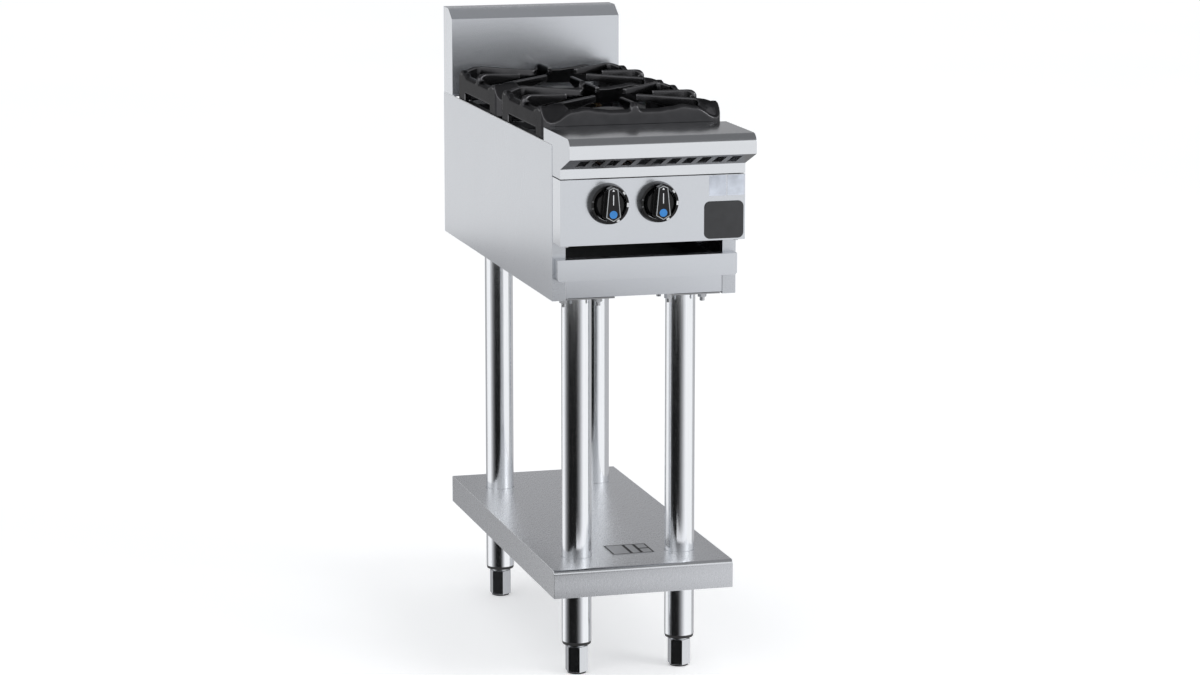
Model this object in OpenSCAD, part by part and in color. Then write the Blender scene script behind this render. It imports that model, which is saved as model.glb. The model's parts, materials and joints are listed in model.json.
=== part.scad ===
// Two-burner gas boiling top on a tubular leg stand with an undershelf.
// Millimetres, +Z up. The origin is on the floor, at the middle of the width and of the depth.
// The operator stands at -Y.

/* [Body] */
// Width over the side panels
body_w = 300; // [290:1:340]
// Depth from the nose of the hob to the back of the splashback
overall_d = 855; // [845:1:900]
// Height of the underside of the body above the floor
body_z = 628.5; // [600:0.5:660]
// Height of the side panels
side_h = 246; // [244:1:270]
// Distance of the side panels' front edge behind the nose
side_setback = 107; // [100:1:110]
// Thickness of the stainless sheet
sheet_t = 1.5; // [1.2:0.1:1.6]
// Width of the flanges that turn in at the side panels' ends
post_w = 22; // [18:1:24]
// Height of the folded hem along the side panels' top edge
hem_h = 6; // [4:0.5:6]

/* [Hob front] */
// Height of the hob deck above the side panels
deck_rise = 21.3; // [18:0.1:24]
// Depth of the flat deck in front of the trivets
deck_d = 149.5; // [145:0.5:152]
// Radius of the nose between the deck and the front face
nose_r = 10; // [8:0.5:12]
// Height of the nose's front face
nose_face_h = 21.6; // [18:0.1:24]
// Height lost along the slanted underside of the nose
slant_drop = 21.7; // [18:0.1:24]
// Overhang of the nose in front of the control panel
nose_overhang = 58; // [50:1:62]
// Height of the plain strip above the control panel
strip_h = 15.5; // [12:0.5:18]
// Number of air slots in the slanted underside
slot_count = 11; // [5:1:11]
// Width of an air slot
slot_w = 15; // [10:0.5:16]
// Distance of the outer air slots from the body's sides
slot_margin = 20.5; // [16:0.5:40]
// Length of an air slot, measured level
slot_l = 37; // [25:1:40]

/* [Control panel] */
// Height of the control panel
panel_h = 103.2; // [100:0.1:108]
// Seam between the control panel and the strip above it
panel_gap = 1.5; // [0.5:0.1:2]
// Width across the two knobs' centres
knob_pitch = 80; // [75:1:90]
// Distance of the pair of knobs left of the middle
knob_shift = 33.8; // [30:0.1:45]
// Height of the knobs above the control panel's lower edge
knob_rise = 64.7; // [60:0.1:70]
// Diameter of the fixed bezel round a knob
bezel_d = 64.6; // [62:0.2:68]
// Height of the bezel off the panel
bezel_h = 16; // [10:0.5:17]
// Diameter of the knob's round base
knob_d = 50; // [44:1:52]
// Distance of the knob's face from the panel
knob_h = 35; // [34:1:40]
// Length of the knob's pointed grip
grip_l = 55; // [48:1:56]
// Width of the grip at its lower end
grip_w = 25; // [20:0.5:26]
// Width of the grip at its upper end
grip_top_w = 16.5; // [14:0.5:20]
// Distance of the grip's middle above the knob's axis
grip_shift = 3; // [0:0.5:4]
// Radius of the tap spindle
spindle_r = 4; // [3:0.5:4]
// Travel of the knob when it is pushed in to light the pilot
push_travel = 4; // [3:0.5:4]

/* [Splashback] */
// Height of the splashback above the side panels
splash_h = 149.2; // [120:0.2:180]
// Depth of the splashback
splash_d = 64; // [60:1:64]
// Height of the slope along the splashback's top front edge
splash_bevel_h = 17; // [10:1:20]
// Depth of the slope along the splashback's top front edge
splash_bevel_d = 28; // [15:1:35]

/* [Trivets] */
// Gap between a trivet and the body's outer side
trivet_side = 4; // [4:0.5:8]
// Gap between the two trivets, and at their front and back
trivet_gap = 2; // [2:0.5:6]
// Depth of the flat ledge between the rear trivet and the splashback
rear_ledge_d = 13.5; // [10:0.5:30]
// Height of the finger tops above the side panels
finger_rise = 55; // [50:0.5:60]
// Depth of the trivets' feet below the side panels' top
trivet_sink = 6.5; // [6:0.5:8]
// Width of the finger tops
finger_t = 6; // [5:0.5:8]
// Depth of a finger at its inner end
finger_tip_h = 10.5; // [8:0.5:12]
// Depth of a finger at the rim
finger_root_h = 22; // [16:1:24]
// Radius of the open middle inside the corner fingers
open_r = 52; // [51.5:0.5:60]
// Radius of the open middle inside the side fingers
side_finger_r = 72; // [60:1:80]
// Radius of the rim's corners, seen from above
rim_corner_r = 24; // [18:1:28]
// Thickness of the rim at its top
rim_t = 10.5; // [9:0.5:12]
// Distance of the opening under each side rim from the trivet's ends
rim_slot_end = 62; // [50:1:80]
// Height of the opening under each side rim
rim_slot_h = 19.5; // [14:0.5:20]

/* [Burners] */
// Radius of a burner cap
cap_r = 50; // [44:0.5:50]
// Height of a burner cap's dome above its rim
cap_dome_h = 7; // [5:0.5:8]
// Height of a cap's rim
cap_rim_h = 5; // [4:0.5:6]
// Height of the cap's highest point above the side panels
cap_rise = 30; // [26:0.5:32]
// Number of flame ports round a burner
port_count = 24; // [12:1:30]
// Outer radius of the burner's mixing tube
neck_r = 16; // [14:0.5:17]
// Distance of the mixing tube's end from the trivet's front edge
neck_front = 53; // [50:1:60]
// Radius of the mixing tube's bore
neck_bore_r = 11.5; // [9:0.5:12]

/* [Gas parts] */
// Radius of the supply pipe and the manifold
pipe_r = 13.45; // [12:0.05:14]
// Distance of the supply pipe from the body's right side
pipe_side = 62; // [50:1:64]
// Height of the supply pipe above the underside of the body
pipe_rise = 93.5; // [92:0.5:96]
// Radius of the thin gas tubes
tube_r = 4; // [3:0.5:5]
// Length of the thread on the gas inlet
inlet_thread_l = 20; // [16:1:22]

/* [Drip tray] */
// Height of the tray front
tray_front_h = 34.5; // [30:0.5:36]
// Height of the tray front's lower edge above the underside of the body
tray_front_rise = 33; // [32:0.5:36]
// Depth of the tray front, from its face to the flanges
tray_front_d = 20; // [16:1:24]
// Gap between the tray front's end and the body's outer side
tray_side = 3.8; // [2:0.2:10]
// Depth of the tray's basin
basin_h = 26; // [20:1:28]
// Gap between the tray's basin and the back panel
basin_back = 48; // [20:1:90]

/* [Legs and shelf] */
// Diameter of the leg tubes
leg_d = 48.3; // [42.4:0.1:50]
// Wall of the leg tubes
leg_wall = 1.5; // [1.2:0.1:2]
// Distance from the body's outer side to a leg's axis
leg_side = 63.6; // [61:0.1:65]
// Distance from the side panels' front edge to the front legs' axes
leg_front = 92; // [80:1:100]
// Distance from the side panels' back edge to the rear legs' axes
leg_rear = 137.7; // [120:0.1:150]
// Width of the square leg plates
plate_w = 74; // [72:1:80]
// Thickness of the leg plates
plate_t = 5; // [4:0.5:6]
// Distance from bolt to bolt on a leg plate
bolt_pitch = 56; // [54:0.5:58]
// Diameter of the leg bolts
bolt_d = 8; // [6:1:8]
// Height of the undershelf's top above the floor
shelf_z = 194.5; // [180:0.5:240]
// Depth of the undershelf's turned-down edges
shelf_edge_h = 45.5; // [30:0.5:50]
// Gap from the body's back to the undershelf's back edge
shelf_rear = 37; // [20:1:50]
// Gap from the side panels' front edge back to the undershelf's front edge
shelf_front = -2; // [-4:1:10]
// Radius of the undershelf's front edge
shelf_nose_r = 8; // [6:0.5:10]
// Height of an adjustable foot
foot_h = 49; // [44:1:56]
// Width of a six-sided foot over its corners
foot_d = 38; // [34:0.5:40]
// Thickness of the black flange between foot and leg
foot_flange_t = 5; // [4:0.5:6]
// Travel of the adjustable foot
foot_travel = 30; // [20:1:40]
// Radius of the foot's stem
stem_r = 6; // [5:0.5:7]

/* [Hidden] */
// Running clearance of turning and sliding fits, on the radius
fit_gap = 0.08;
// Gap between pieces that only lie against each other
seat_gap = 0.3;
// Overrun of cutting tools
cut = 1;
$fn = 48;

// Main planes of the body
hw = body_w/2;
inner_w = hw - sheet_t;
y_nose = -overall_d/2;
y_rear = overall_d/2;
y_post = y_nose + side_setback;
y_panel = y_nose + nose_overhang;
y_deck_rear = y_nose + deck_d + nose_r;
side_top = body_z + side_h;
deck_z = side_top + deck_rise;

// Hob front and control panel heights
nose_z = deck_z - nose_r;
slant_z = nose_z - nose_face_h;
strip_z = slant_z - slant_drop;
panel_top = strip_z - strip_h;
panel_z = panel_top - panel_gap - panel_h;
cheek_inset = 0.6;
cheek_x = hw - cheek_inset;
panel_return = y_post - seat_gap;
knob_z = panel_z + knob_rise;
knob_x = [-knob_shift - knob_pitch/2, -knob_shift + knob_pitch/2];

// Sizes and places of the burners and the trivets
splash_y = y_rear - splash_d;
trivet_w = body_w - 2*trivet_side;
trivet_d = (splash_y - rear_ledge_d - y_deck_rear - 3*trivet_gap)/2;
rim_slot_l = trivet_d - 2*rim_slot_end;
neck_l = trivet_d/2 - neck_front;
trivet_pitch = trivet_d + trivet_gap;
trivet_y0 = y_deck_rear + trivet_gap;
burner_y = [trivet_y0 + trivet_d/2, trivet_y0 + trivet_d/2 + trivet_pitch];
trivet_z = side_top - trivet_sink;
finger_z = side_top + finger_rise;
well_y1 = burner_y[1] + trivet_d/2 + trivet_gap;
ledge_w = 24;
ledge_h = 18;

// Level of the mixing tubes and of the burners' feet
gas_drop = 18;
gas_z = trivet_z - gas_drop;
burner_base_z = gas_z - neck_r - 2*sheet_t;
spigot_r = 8;

// Gas taps
tap_half = 14;
tap_stub = 4;

// Tray
tray_z = body_z + tray_front_rise;
tray_y = y_post - tray_front_d;
basin_gap = 4;
basin_hw = hw - post_w - basin_gap;
basin_z = tray_z + sheet_t;
runner_h = 14;
runner_z = basin_z - seat_gap - sheet_t;
corner_r = 5;

// Legs
channel_w = 78;
channel_h = 22;
leg_x = hw - leg_side;
leg_y = [y_post + leg_front, y_rear - leg_rear];
leg_r = leg_d/2;
tube_z = foot_h + foot_flange_t;
tube_top = body_z - plate_t;
shelf_y0 = y_post + shelf_front;
shelf_hw = hw - sheet_t;
collar_w = 9;
collar_h = 14;
back_inset = 30;
back_y = y_rear - back_inset;
basin_y1 = back_y - basin_back;
insert_l = foot_travel + 4;

// Shared outline functions
function arc(c, r, a0, a1, n) =
    [for (i = [0 : n]) c + r*[cos(a0 + (a1 - a0)*i/n), sin(a0 + (a1 - a0)*i/n)]];
function unit(v) = v/norm(v);
function left_of(v) = [-v[1], v[0]];
function turned(p) = [for (i = [len(p) - 1 : -1 : 0]) p[i]];
// Same path moved to its left by t, with mitred corners
function beside(p, t) = [for (i = [0 : len(p) - 1])
    let (a = left_of(unit(i == 0 ? p[1] - p[0] : p[i] - p[i - 1])),
         b = i == len(p) - 1 ? a : left_of(unit(p[i + 1] - p[i])))
    p[i] + t*(a + b)/(1 + a*b)];
function sheet_outline(p, t) = concat(p, turned(beside(p, t)));

// A folded sheet along X: the path is drawn in Y and Z and the metal lies on its left
module fold_x(p, x0, x1, t = sheet_t)
    translate([x0, 0, 0]) rotate([90, 0, 90]) linear_extrude(x1 - x0) polygon(sheet_outline(p, t));

// A flat plate across X with an outline in Y and Z
module plate_x(p, x0, t)
    translate([x0, 0, 0]) rotate([90, 0, 90]) linear_extrude(t) polygon(p);

module box(lo, hi)
    translate(lo) cube(hi - lo);

module rod_x(x0, x1, y, z, r)
    translate([x0, y, z]) rotate([0, 90, 0]) cylinder(r = r, h = x1 - x0);

module rod_y(x, y0, y1, z, r)
    translate([x, y0, z]) rotate([-90, 0, 0]) cylinder(r = r, h = y1 - y0);

module rod_z(x, y, z0, z1, r)
    translate([x, y, z0]) cylinder(r = r, h = z1 - z0);

// Turn that takes +Z to the direction v
function polar_of(v) = [0, acos(v[2]/norm(v)), atan2(v[1], v[0])];

// Quarter bend in the corner b of a right-angled run from a to c
module elbow(a, b, c, r, bend) {
    u = unit(b - a);
    v = unit(c - b);
    w = cross(u, v);
    centre = b - bend*u + bend*v;
    multmatrix([[-v[0], u[0], w[0], centre[0]],
                [-v[1], u[1], w[1], centre[1]],
                [-v[2], u[2], w[2], centre[2]],
                [0, 0, 0, 1]])
        rotate_extrude(angle = 90) translate([bend, 0]) circle(r);
}

// Tube along a right-angled run of points with rounded corners
module tube_run(p, r, bend) {
    n = len(p) - 1;
    for (i = [0 : n - 1]) {
        d = unit(p[i + 1] - p[i]);
        a = p[i] + (i == 0 ? 0 : bend)*d;
        b = p[i + 1] - (i == n - 1 ? 0 : bend)*d;
        if (norm(b - a) > 0)
            translate(a) rotate(polar_of(d)) cylinder(r = r, h = norm(b - a));
    }
    for (i = [1 : n - 1])
        elbow(p[i - 1], p[i], p[i + 1], r, bend);
}

// Body panels, drawn for the right side and mirrored for the left

module side_panel() {
    color([0.78, 0.8, 0.83]) {
        box([inner_w, y_post, body_z], [hw, y_rear, side_top]);
        box([hw - post_w, y_post, body_z], [hw, y_post + sheet_t, side_top]);
        box([hw - post_w, y_rear - sheet_t, body_z], [hw, y_rear, side_top]);
        box([hw - post_w, y_post, body_z], [hw, y_rear, body_z + sheet_t]);
        box([inner_w - sheet_t, y_post + sheet_t, side_top - hem_h], [hw, y_rear - sheet_t, side_top]);
    }
}
module side_panel_right() side_panel();
module side_panel_left() mirror([1, 0, 0]) side_panel();

back_edge = 12;
module back_panel() {
    z0 = body_z + sheet_t;
    z1 = trivet_z - ledge_h;
    color([0.7, 0.71, 0.73]) difference() {
        fold_x([[back_y + back_edge, z1], [back_y, z1], [back_y, z0], [back_y + back_edge, z0]],
            -inner_w, inner_w);
        rod_y(pipe_x, back_y - cut, back_y + sheet_t + cut, pipe_z, pipe_r + seat_gap);
        for (i = [-back_slots : back_slots], j = [0 : back_slot_rows - 1])
            let (x = i*back_slot_pitch, z = back_slot_z + j*back_slot_row)
            round_slot(x, z);
    }
}
back_slots = 2;
back_slot_rows = 3;
back_slot_w = 34;
back_slot_h = 6;
back_slot_pitch = back_slot_w + 3*back_slot_h;
back_slot_row = 3*back_slot_h;
back_slot_z = side_top - side_h/3;
// Round-ended slot through the back panel
module round_slot(x, z) {
    y0 = back_y - cut;
    y1 = back_y + sheet_t + cut;
    half = (back_slot_w - back_slot_h)/2;
    rod_y(x - half, y0, y1, z, back_slot_h/2);
    rod_y(x + half, y0, y1, z, back_slot_h/2);
    box([x - half, y0, z - back_slot_h/2], [x + half, y1, z + back_slot_h/2]);
}

// Splashback with a sloping top front edge
splash_top = side_top + splash_h;
splash_lip = 15;
rear_lip_hw = inner_w - 2*sheet_t - ledge_w;
splash_front = [[splash_y + splash_bevel_d, splash_top], [splash_y, splash_top - splash_bevel_h],
    [splash_y, side_top]];
splash_path = concat([[y_rear, splash_top - splash_lip], [y_rear, splash_top]], splash_front);
splash_side = concat([[y_rear, side_top], [y_rear, splash_top]], splash_front);
module splashback() {
    color([0.8, 0.81, 0.84]) {
        fold_x(splash_path, -cheek_x, cheek_x);
        plate_x(splash_side, -cheek_x, sheet_t);
        plate_x(splash_side, cheek_x - sheet_t, sheet_t);
        box([-cheek_x, well_y1, side_top], [cheek_x, splash_y + sheet_t, side_top + sheet_t]);
        box([-rear_lip_hw, well_y1, side_top - splash_lip],
            [rear_lip_hw, well_y1 + sheet_t, side_top + sheet_t]);
    }
}

louvre_count = 4;
louvre_w = 44;
louvre_h = 5;
module splashback_back() {
    x1 = cheek_x - sheet_t;
    z1 = splash_top - sheet_t;
    zc = splash_top - splash_h/2;
    pitch = 2*x1/louvre_count;
    color([0.7, 0.71, 0.73]) difference() {
        box([-x1, y_rear - 2*sheet_t, side_top], [x1, y_rear - sheet_t, z1]);
        for (i = [0 : louvre_count - 1], j = [-1, 1])
            let (xc = -x1 + i*pitch + pitch/2)
            box([xc - louvre_w/2, y_rear - 2*sheet_t - cut, zc + 2*j*louvre_h - louvre_h/2],
                [xc + louvre_w/2, y_rear, zc + 2*j*louvre_h + louvre_h/2]);
    }
}

// Nose, slanted underside with its air slots, and the plain strip above the panel
deck_turn = 14;
nose_path = concat([[y_deck_rear, deck_z - deck_turn], [y_deck_rear, deck_z]],
    arc([y_nose + nose_r, nose_z], nose_r, 90, 180, 8),
    [[y_nose, slant_z], [y_panel, strip_z], [y_panel, panel_top]]);
cheek = concat([[panel_return, panel_top], [panel_return, side_top + seat_gap],
        [y_deck_rear, side_top + seat_gap], [y_deck_rear, deck_z]],
    arc([y_nose + nose_r, nose_z], nose_r, 90, 180, 8),
    [[y_nose, slant_z], [y_panel, strip_z], [y_panel, panel_top]]);
slot_mid_y = (y_nose + y_panel)/2;
slot_x0 = slot_margin + slot_w/2 - hw;
module hob_front() {
    color([0.76, 0.78, 0.81]) difference() {
        union() {
            fold_x(nose_path, -cheek_x, cheek_x);
            plate_x(cheek, -cheek_x, sheet_t);
            plate_x(cheek, cheek_x - sheet_t, sheet_t);
        }
        for (i = [0 : slot_count - 1])
            let (x = slot_x0 - 2*slot_x0*i/(slot_count - 1))
            box([x - slot_w/2, slot_mid_y - slot_l/2, strip_z - sheet_t],
                [x + slot_w/2, slot_mid_y + slot_l/2, slant_z + 2*sheet_t]);
    }
}

// Control panel with its folded ends and bottom edge
neck_r_tap = 9;
panel_fold = 18;
module control_panel() {
    z1 = panel_z + panel_h;
    color([0.8, 0.81, 0.84]) difference() {
        union() {
            box([-cheek_x, y_panel, panel_z], [cheek_x, y_panel + sheet_t, z1]);
            box([-cheek_x, y_panel, panel_z], [cheek_x, y_panel + panel_fold, panel_z + sheet_t]);
            box([-cheek_x, y_panel, z1 - sheet_t], [cheek_x, y_panel + panel_fold, z1]);
            for (x = [-cheek_x, cheek_x - sheet_t])
                box([x, y_panel, panel_z], [x + sheet_t, panel_return, z1]);
        }
        for (x = knob_x)
            rod_y(x, y_panel - cut, y_panel + sheet_t + cut, knob_z, neck_r_tap + fit_gap);
        for (x = [-screw_x, screw_x])
            rod_z(x, screw_y, panel_z - cut, panel_z + sheet_t + cut, screw_r + fit_gap);
    }
}

rail_y = y_post + sheet_t;
rail_top = runner_z - seat_gap;
rail_bottom = body_z + 2*sheet_t;
rail_fold = 14;
module lower_front_rail()
    color([0.78, 0.79, 0.82])
        fold_x([[rail_y + rail_fold, rail_top], [rail_y, rail_top], [rail_y, rail_bottom]],
            -inner_w, inner_w);

// Channels that carry the leg plates
channel_t = 2;
module bolt_holes(z0, z1, ys = leg_y)
    for (y = ys, i = [-1, 1], j = [-1, 1])
        rod_z(i*bolt_pitch/2, y + j*bolt_pitch/2, z0 - cut, z1 + cut, bolt_d/2 + fit_gap);
module base_channel(s) {
    half = channel_w/2;
    color([0.62, 0.63, 0.65]) translate([s*leg_x, 0, 0]) difference() {
        box([-half, rail_y + sheet_t, body_z], [half, back_y, body_z + channel_h]);
        box([-half + channel_t, rail_y, body_z + channel_t],
            [half - channel_t, back_y + cut, body_z + channel_h + cut]);
        bolt_holes(body_z, body_z + channel_t);
    }
}
module base_channel_left() base_channel(-1);
module base_channel_right() base_channel(1);

// Angles along the sides that the trivets stand on
module trivet_ledge(s)
    color([0.6, 0.6, 0.62]) mirror([s < 0 ? 1 : 0, 0, 0]) {
        box([inner_w - sheet_t, y_post + 2*sheet_t, trivet_z - ledge_h],
            [inner_w, well_y1, trivet_z]);
        box([inner_w - ledge_w, y_post + 2*sheet_t, trivet_z - sheet_t], [inner_w, well_y1, trivet_z]);
    }
module trivet_ledge_left() trivet_ledge(-1);
module trivet_ledge_right() trivet_ledge(1);

// Bar between the two wells, hung from the ledges
bar_half = 9;
bar_h = 10;
bar_y = (burner_y[0] + burner_y[1])/2;
module centre_bar() {
    x1 = inner_w - sheet_t;
    z1 = trivet_z - sheet_t;
    color([0.5, 0.5, 0.52]) difference() {
        box([-x1, bar_y - bar_half, z1 - bar_h], [x1, bar_y + bar_half, z1]);
        box([-x1 - cut, bar_y - bar_half + sheet_t, z1 - bar_h - cut],
            [x1 + cut, bar_y + bar_half - sheet_t, z1 - sheet_t]);
    }
}

// Cross rails that carry the burners, with an upright plate at each end
burner_foot_r = 12;
burner_rail_w = 30;
burner_rail_h = 6;
module burner_rail(y) {
    half = burner_rail_w/2;
    z1 = burner_base_z;
    color([0.55, 0.55, 0.57]) difference() {
        union() {
            box([-inner_w, y - half, z1 - sheet_t], [inner_w, y + half, z1]);
            box([-inner_w, y - half, z1 - burner_rail_h], [inner_w, y - half + sheet_t, z1]);
            box([-inner_w, y + half - sheet_t, z1 - burner_rail_h], [inner_w, y + half, z1]);
        }
        rod_z(0, y, z1 - burner_rail_h - cut, z1 + cut, spigot_r + fit_gap);
    }
}
module burner_rail_front() burner_rail(burner_y[0]);
module burner_rail_rear() burner_rail(burner_y[1]);

module tray_runner(s)
    color([0.6, 0.6, 0.62]) mirror([s < 0 ? 1 : 0, 0, 0]) {
        y0 = rail_y + sheet_t;
        box([inner_w - sheet_t, y0, runner_z], [inner_w, back_y, runner_z + runner_h]);
        box([basin_hw - runner_grip, y0, runner_z], [inner_w, back_y, runner_z + sheet_t]);
    }
runner_grip = 9;
module tray_runner_left() tray_runner(-1);
module tray_runner_right() tray_runner(1);

// Gas supply: inlet pipe, manifold, taps, tubes and injectors
pipe_x = hw - pipe_side;
pipe_z = body_z + pipe_rise;
manifold_back = 40;
manifold_y = y_panel + manifold_back;
manifold_z = knob_z - tap_half - pipe_r - tap_stub;
tap_l = 50;
pipe_bend = pipe_r + sheet_t;
coupling_l = 12;
coupling_t = 3.4;
manifold_over = 19;
manifold_x0 = knob_x[0] - manifold_over;
manifold_x1 = knob_x[1] + manifold_over + coupling_l;
module gas_pipe() {
    end = back_y + inlet_thread_l + sheet_t;
    color([0.8, 0.68, 0.4]) {
        tube_run([[pipe_x, end, pipe_z], [pipe_x, manifold_y, pipe_z],
            [pipe_x, manifold_y, manifold_z], [manifold_x1 + coupling_l, manifold_y, manifold_z]],
            pipe_r, pipe_bend);
        rod_x(manifold_x1, manifold_x1 + coupling_l, manifold_y, manifold_z,
            pipe_r + coupling_t);
        rod_y(pipe_x, back_y + sheet_t + seat_gap, back_y + sheet_t + inlet_nut_t, pipe_z,
            pipe_r + coupling_t);
    }
}
inlet_nut_t = 5;
riser_r = 8;
module gas_manifold() {
    color([0.75, 0.62, 0.35]) {
        rod_x(manifold_x0, manifold_x1, manifold_y, manifold_z, pipe_r);
        rod_x(manifold_x0 - 2*sheet_t, manifold_x0, manifold_y, manifold_z, pipe_r - sheet_t);
        for (x = knob_x)
            rod_z(x, manifold_y, manifold_z, manifold_z + pipe_r + tap_stub/2, riser_r);
    }
}

// Gas tap: a brass body behind the panel, its threaded neck and nut through the panel.
// Tap, bezel, collar, spindle and knob are drawn along +Z, away from the panel.
module at_knob(i)
    translate([knob_x[i], y_panel, knob_z]) rotate([90, 0, 0]) children();
tap_nut_t = 3;
neck_h = 5;
sleeve_r = 6.5;
sleeve_tail = 9;
sleeve_depth = sleeve_tail + push_travel + cut;
outlet_r = 6;
tap_reach = 69.5;
gas_y0 = y_panel + tap_reach;
outlet_z = y_panel - gas_y0;
stub_z = y_panel - manifold_y;
core_h = 36;
module gas_tap(i)
    color([0.74, 0.62, 0.36]) at_knob(i) difference() {
        union() {
            translate([-tap_half, -tap_half, -core_h])
                cube([2*tap_half, 2*tap_half, core_h - sheet_t]);
            translate([0, 0, -tap_l]) cylinder(r = tap_half - 2*sheet_t, h = tap_l - sheet_t);
            translate([0, 0, outlet_z]) cylinder(r = outlet_r, h = -outlet_z - tap_l);
            translate([0, 0, outlet_z - seat_gap + outlet_r])
                cylinder(r = outlet_r + 2*sheet_t, h = outlet_r, $fn = 6);
            translate([0, 0, -sheet_t]) cylinder(r = neck_r_tap, h = neck_h + sheet_t);
            cylinder(r = neck_r_tap + 2*sheet_t, h = tap_nut_t, $fn = 6);
            translate([0, -tap_half, stub_z]) rotate([90, 0, 0])
                cylinder(r = stub_r, h = tap_stub/2);
            translate([0, -tap_half, stub_z]) rotate([-90, 0, 0]) cylinder(r = stub_r, h = tap_half);
        }
        translate([0, 0, -sleeve_depth]) cylinder(r = sleeve_r + fit_gap, h = sleeve_depth + neck_h + cut);
        translate([0, 0, -spindle_bore]) cylinder(r = spindle_r + fit_gap, h = spindle_bore);
    }
spindle_in = 22;
spindle_bore = spindle_in + push_travel + 2*cut;
spindle_out = 30;
stub_r = pipe_r - 2*sheet_t;
module gas_tap_left() gas_tap(0);
module gas_tap_right() gas_tap(1);

// Sleeve that the knob pushes in against the tap's spring; it slides and doesn't turn
sleeve_out = 9.7;
module tap_collar(i)
    color([0.6, 0.62, 0.64]) at_knob(i) translate([0, 0, -sleeve_tail]) difference() {
        cylinder(r = sleeve_r, h = sleeve_tail + sleeve_out);
        translate([0, 0, -cut]) cylinder(r = spindle_r + fit_gap, h = sleeve_tail + sleeve_out + 2*cut);
    }
module tap_collar_left() tap_collar(0);
module tap_collar_right() tap_collar(1);

// Spindle with a flat on its outer end
flat_share = 0.6;
flat_l = 12;
module spindle_flat(r)
    translate([flat_share*r, -2*r]) square(4*r);
module tap_spindle(i)
    color([0.7, 0.7, 0.72]) at_knob(i) difference() {
        translate([0, 0, -spindle_in]) cylinder(r = spindle_r, h = spindle_in + spindle_out);
        translate([0, 0, spindle_out - flat_l]) linear_extrude(flat_l + cut) spindle_flat(spindle_r);
    }
module tap_spindle_left() tap_spindle(0);
module tap_spindle_right() tap_spindle(1);

// Knob: a hollow round base, a coned shoulder and a pointed grip
knob_rear = push_travel + cut;
base_h = 7;
shoulder_h = 7;
shoulder_share = 0.84;
hub_r = 8;
skirt_t = 2;
grip_z = knob_rear + base_h;
high_share = 0.435;
low_share = 0.37;
step_w = 3;
step_h = 9;
overhang_z = bezel_h + push_travel + cut;
function grip_outline(g) = let (low = grip_shift - low_share*grip_l, high = grip_shift + high_share*grip_l)
    [[-grip_w/2 - g, low], [0, grip_shift - grip_l/2 - g], [grip_w/2 + g, low],
        [grip_top_w/2 + g, high], [0, grip_shift + grip_l/2], [-grip_top_w/2 - g, high]];
module knob(i) {
    r = knob_d/2;
    hub_z = sleeve_out + seat_gap;
    cavity_top = grip_z + shoulder_h - skirt_t;
    color([0.06, 0.06, 0.065]) at_knob(i) difference() {
        union() {
            difference() {
                union() {
                    translate([0, 0, knob_rear]) cylinder(r = r, h = base_h);
                    translate([0, 0, grip_z]) cylinder(r1 = r, r2 = shoulder_share*r, h = shoulder_h);
                }
                translate([0, 0, knob_rear - cut])
                    cylinder(r = shoulder_share*r - skirt_t, h = cavity_top - knob_rear + cut);
            }
            translate([0, 0, hub_z]) cylinder(r = hub_r, h = knob_h - hub_z - skirt_t);
            translate([0, 0, cavity_top]) linear_extrude(step_h)
                intersection() {
                    polygon(grip_outline(step_w));
                    circle(r);
                }
            translate([0, 0, cavity_top]) linear_extrude(overhang_z - cavity_top)
                intersection() {
                    polygon(grip_outline(0));
                    circle(r);
                }
            translate([0, 0, overhang_z]) linear_extrude(knob_h - overhang_z)
                polygon(grip_outline(0));
        }
        translate([0, 0, hub_z - cut]) linear_extrude(spindle_out - flat_l - hub_z + cut)
            circle(spindle_r + fit_gap);
        translate([0, 0, spindle_out - flat_l - seat_gap]) linear_extrude(flat_l + 2*seat_gap)
            difference() {
                circle(spindle_r + fit_gap);
                spindle_flat(spindle_r + fit_gap);
            }
    }
}
module knob_left() knob(0);
module knob_right() knob(1);

// Fixed ring round the knob's base
bezel_gap = 1.2;
bezel_bevel = 2.1;
bezel_rim_h = 3;
module knob_bezel(i)
    color([0.07, 0.07, 0.075]) at_knob(i) difference() {
        union() {
            cylinder(r = bezel_d/2, h = bezel_rim_h);
            translate([0, 0, bezel_rim_h])
                cylinder(r1 = bezel_d/2, r2 = bezel_d/2 - bezel_bevel, h = bezel_h - bezel_rim_h);
        }
        translate([0, 0, -cut]) cylinder(r = knob_d/2 + bezel_gap, h = bezel_h + 2*cut);
    }
module knob_bezel_left() knob_bezel(0);
module knob_bezel_right() knob_bezel(1);

// Thin tubes from the taps to the injectors
gas_bend = 12;
injector_l = 27;
gas_end = neck_l + injector_l;
jet_y = [for (y = burner_y) y - gas_end];
tube_y = (gas_y0 + jet_y[0])/2;
tube_shift = 56;
tube_side = knob_x[1] + tube_shift;
module gas_tube_front()
    color([0.78, 0.64, 0.4])
        tube_run([[knob_x[0], gas_y0, knob_z], [knob_x[0], tube_y, knob_z], [knob_x[0], tube_y, gas_z],
            [0, tube_y, gas_z], [0, jet_y[0], gas_z]], tube_r, gas_bend);
module gas_tube_rear() {
    y1 = bar_y - bar_half;
    color([0.78, 0.64, 0.4])
        tube_run([[knob_x[1], gas_y0, knob_z], [knob_x[1], tube_y, knob_z], [tube_side, tube_y, knob_z],
            [tube_side, y1, knob_z], [tube_side, y1, gas_z], [0, y1, gas_z],
            [0, jet_y[1], gas_z]], tube_r, gas_bend);
}

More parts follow.
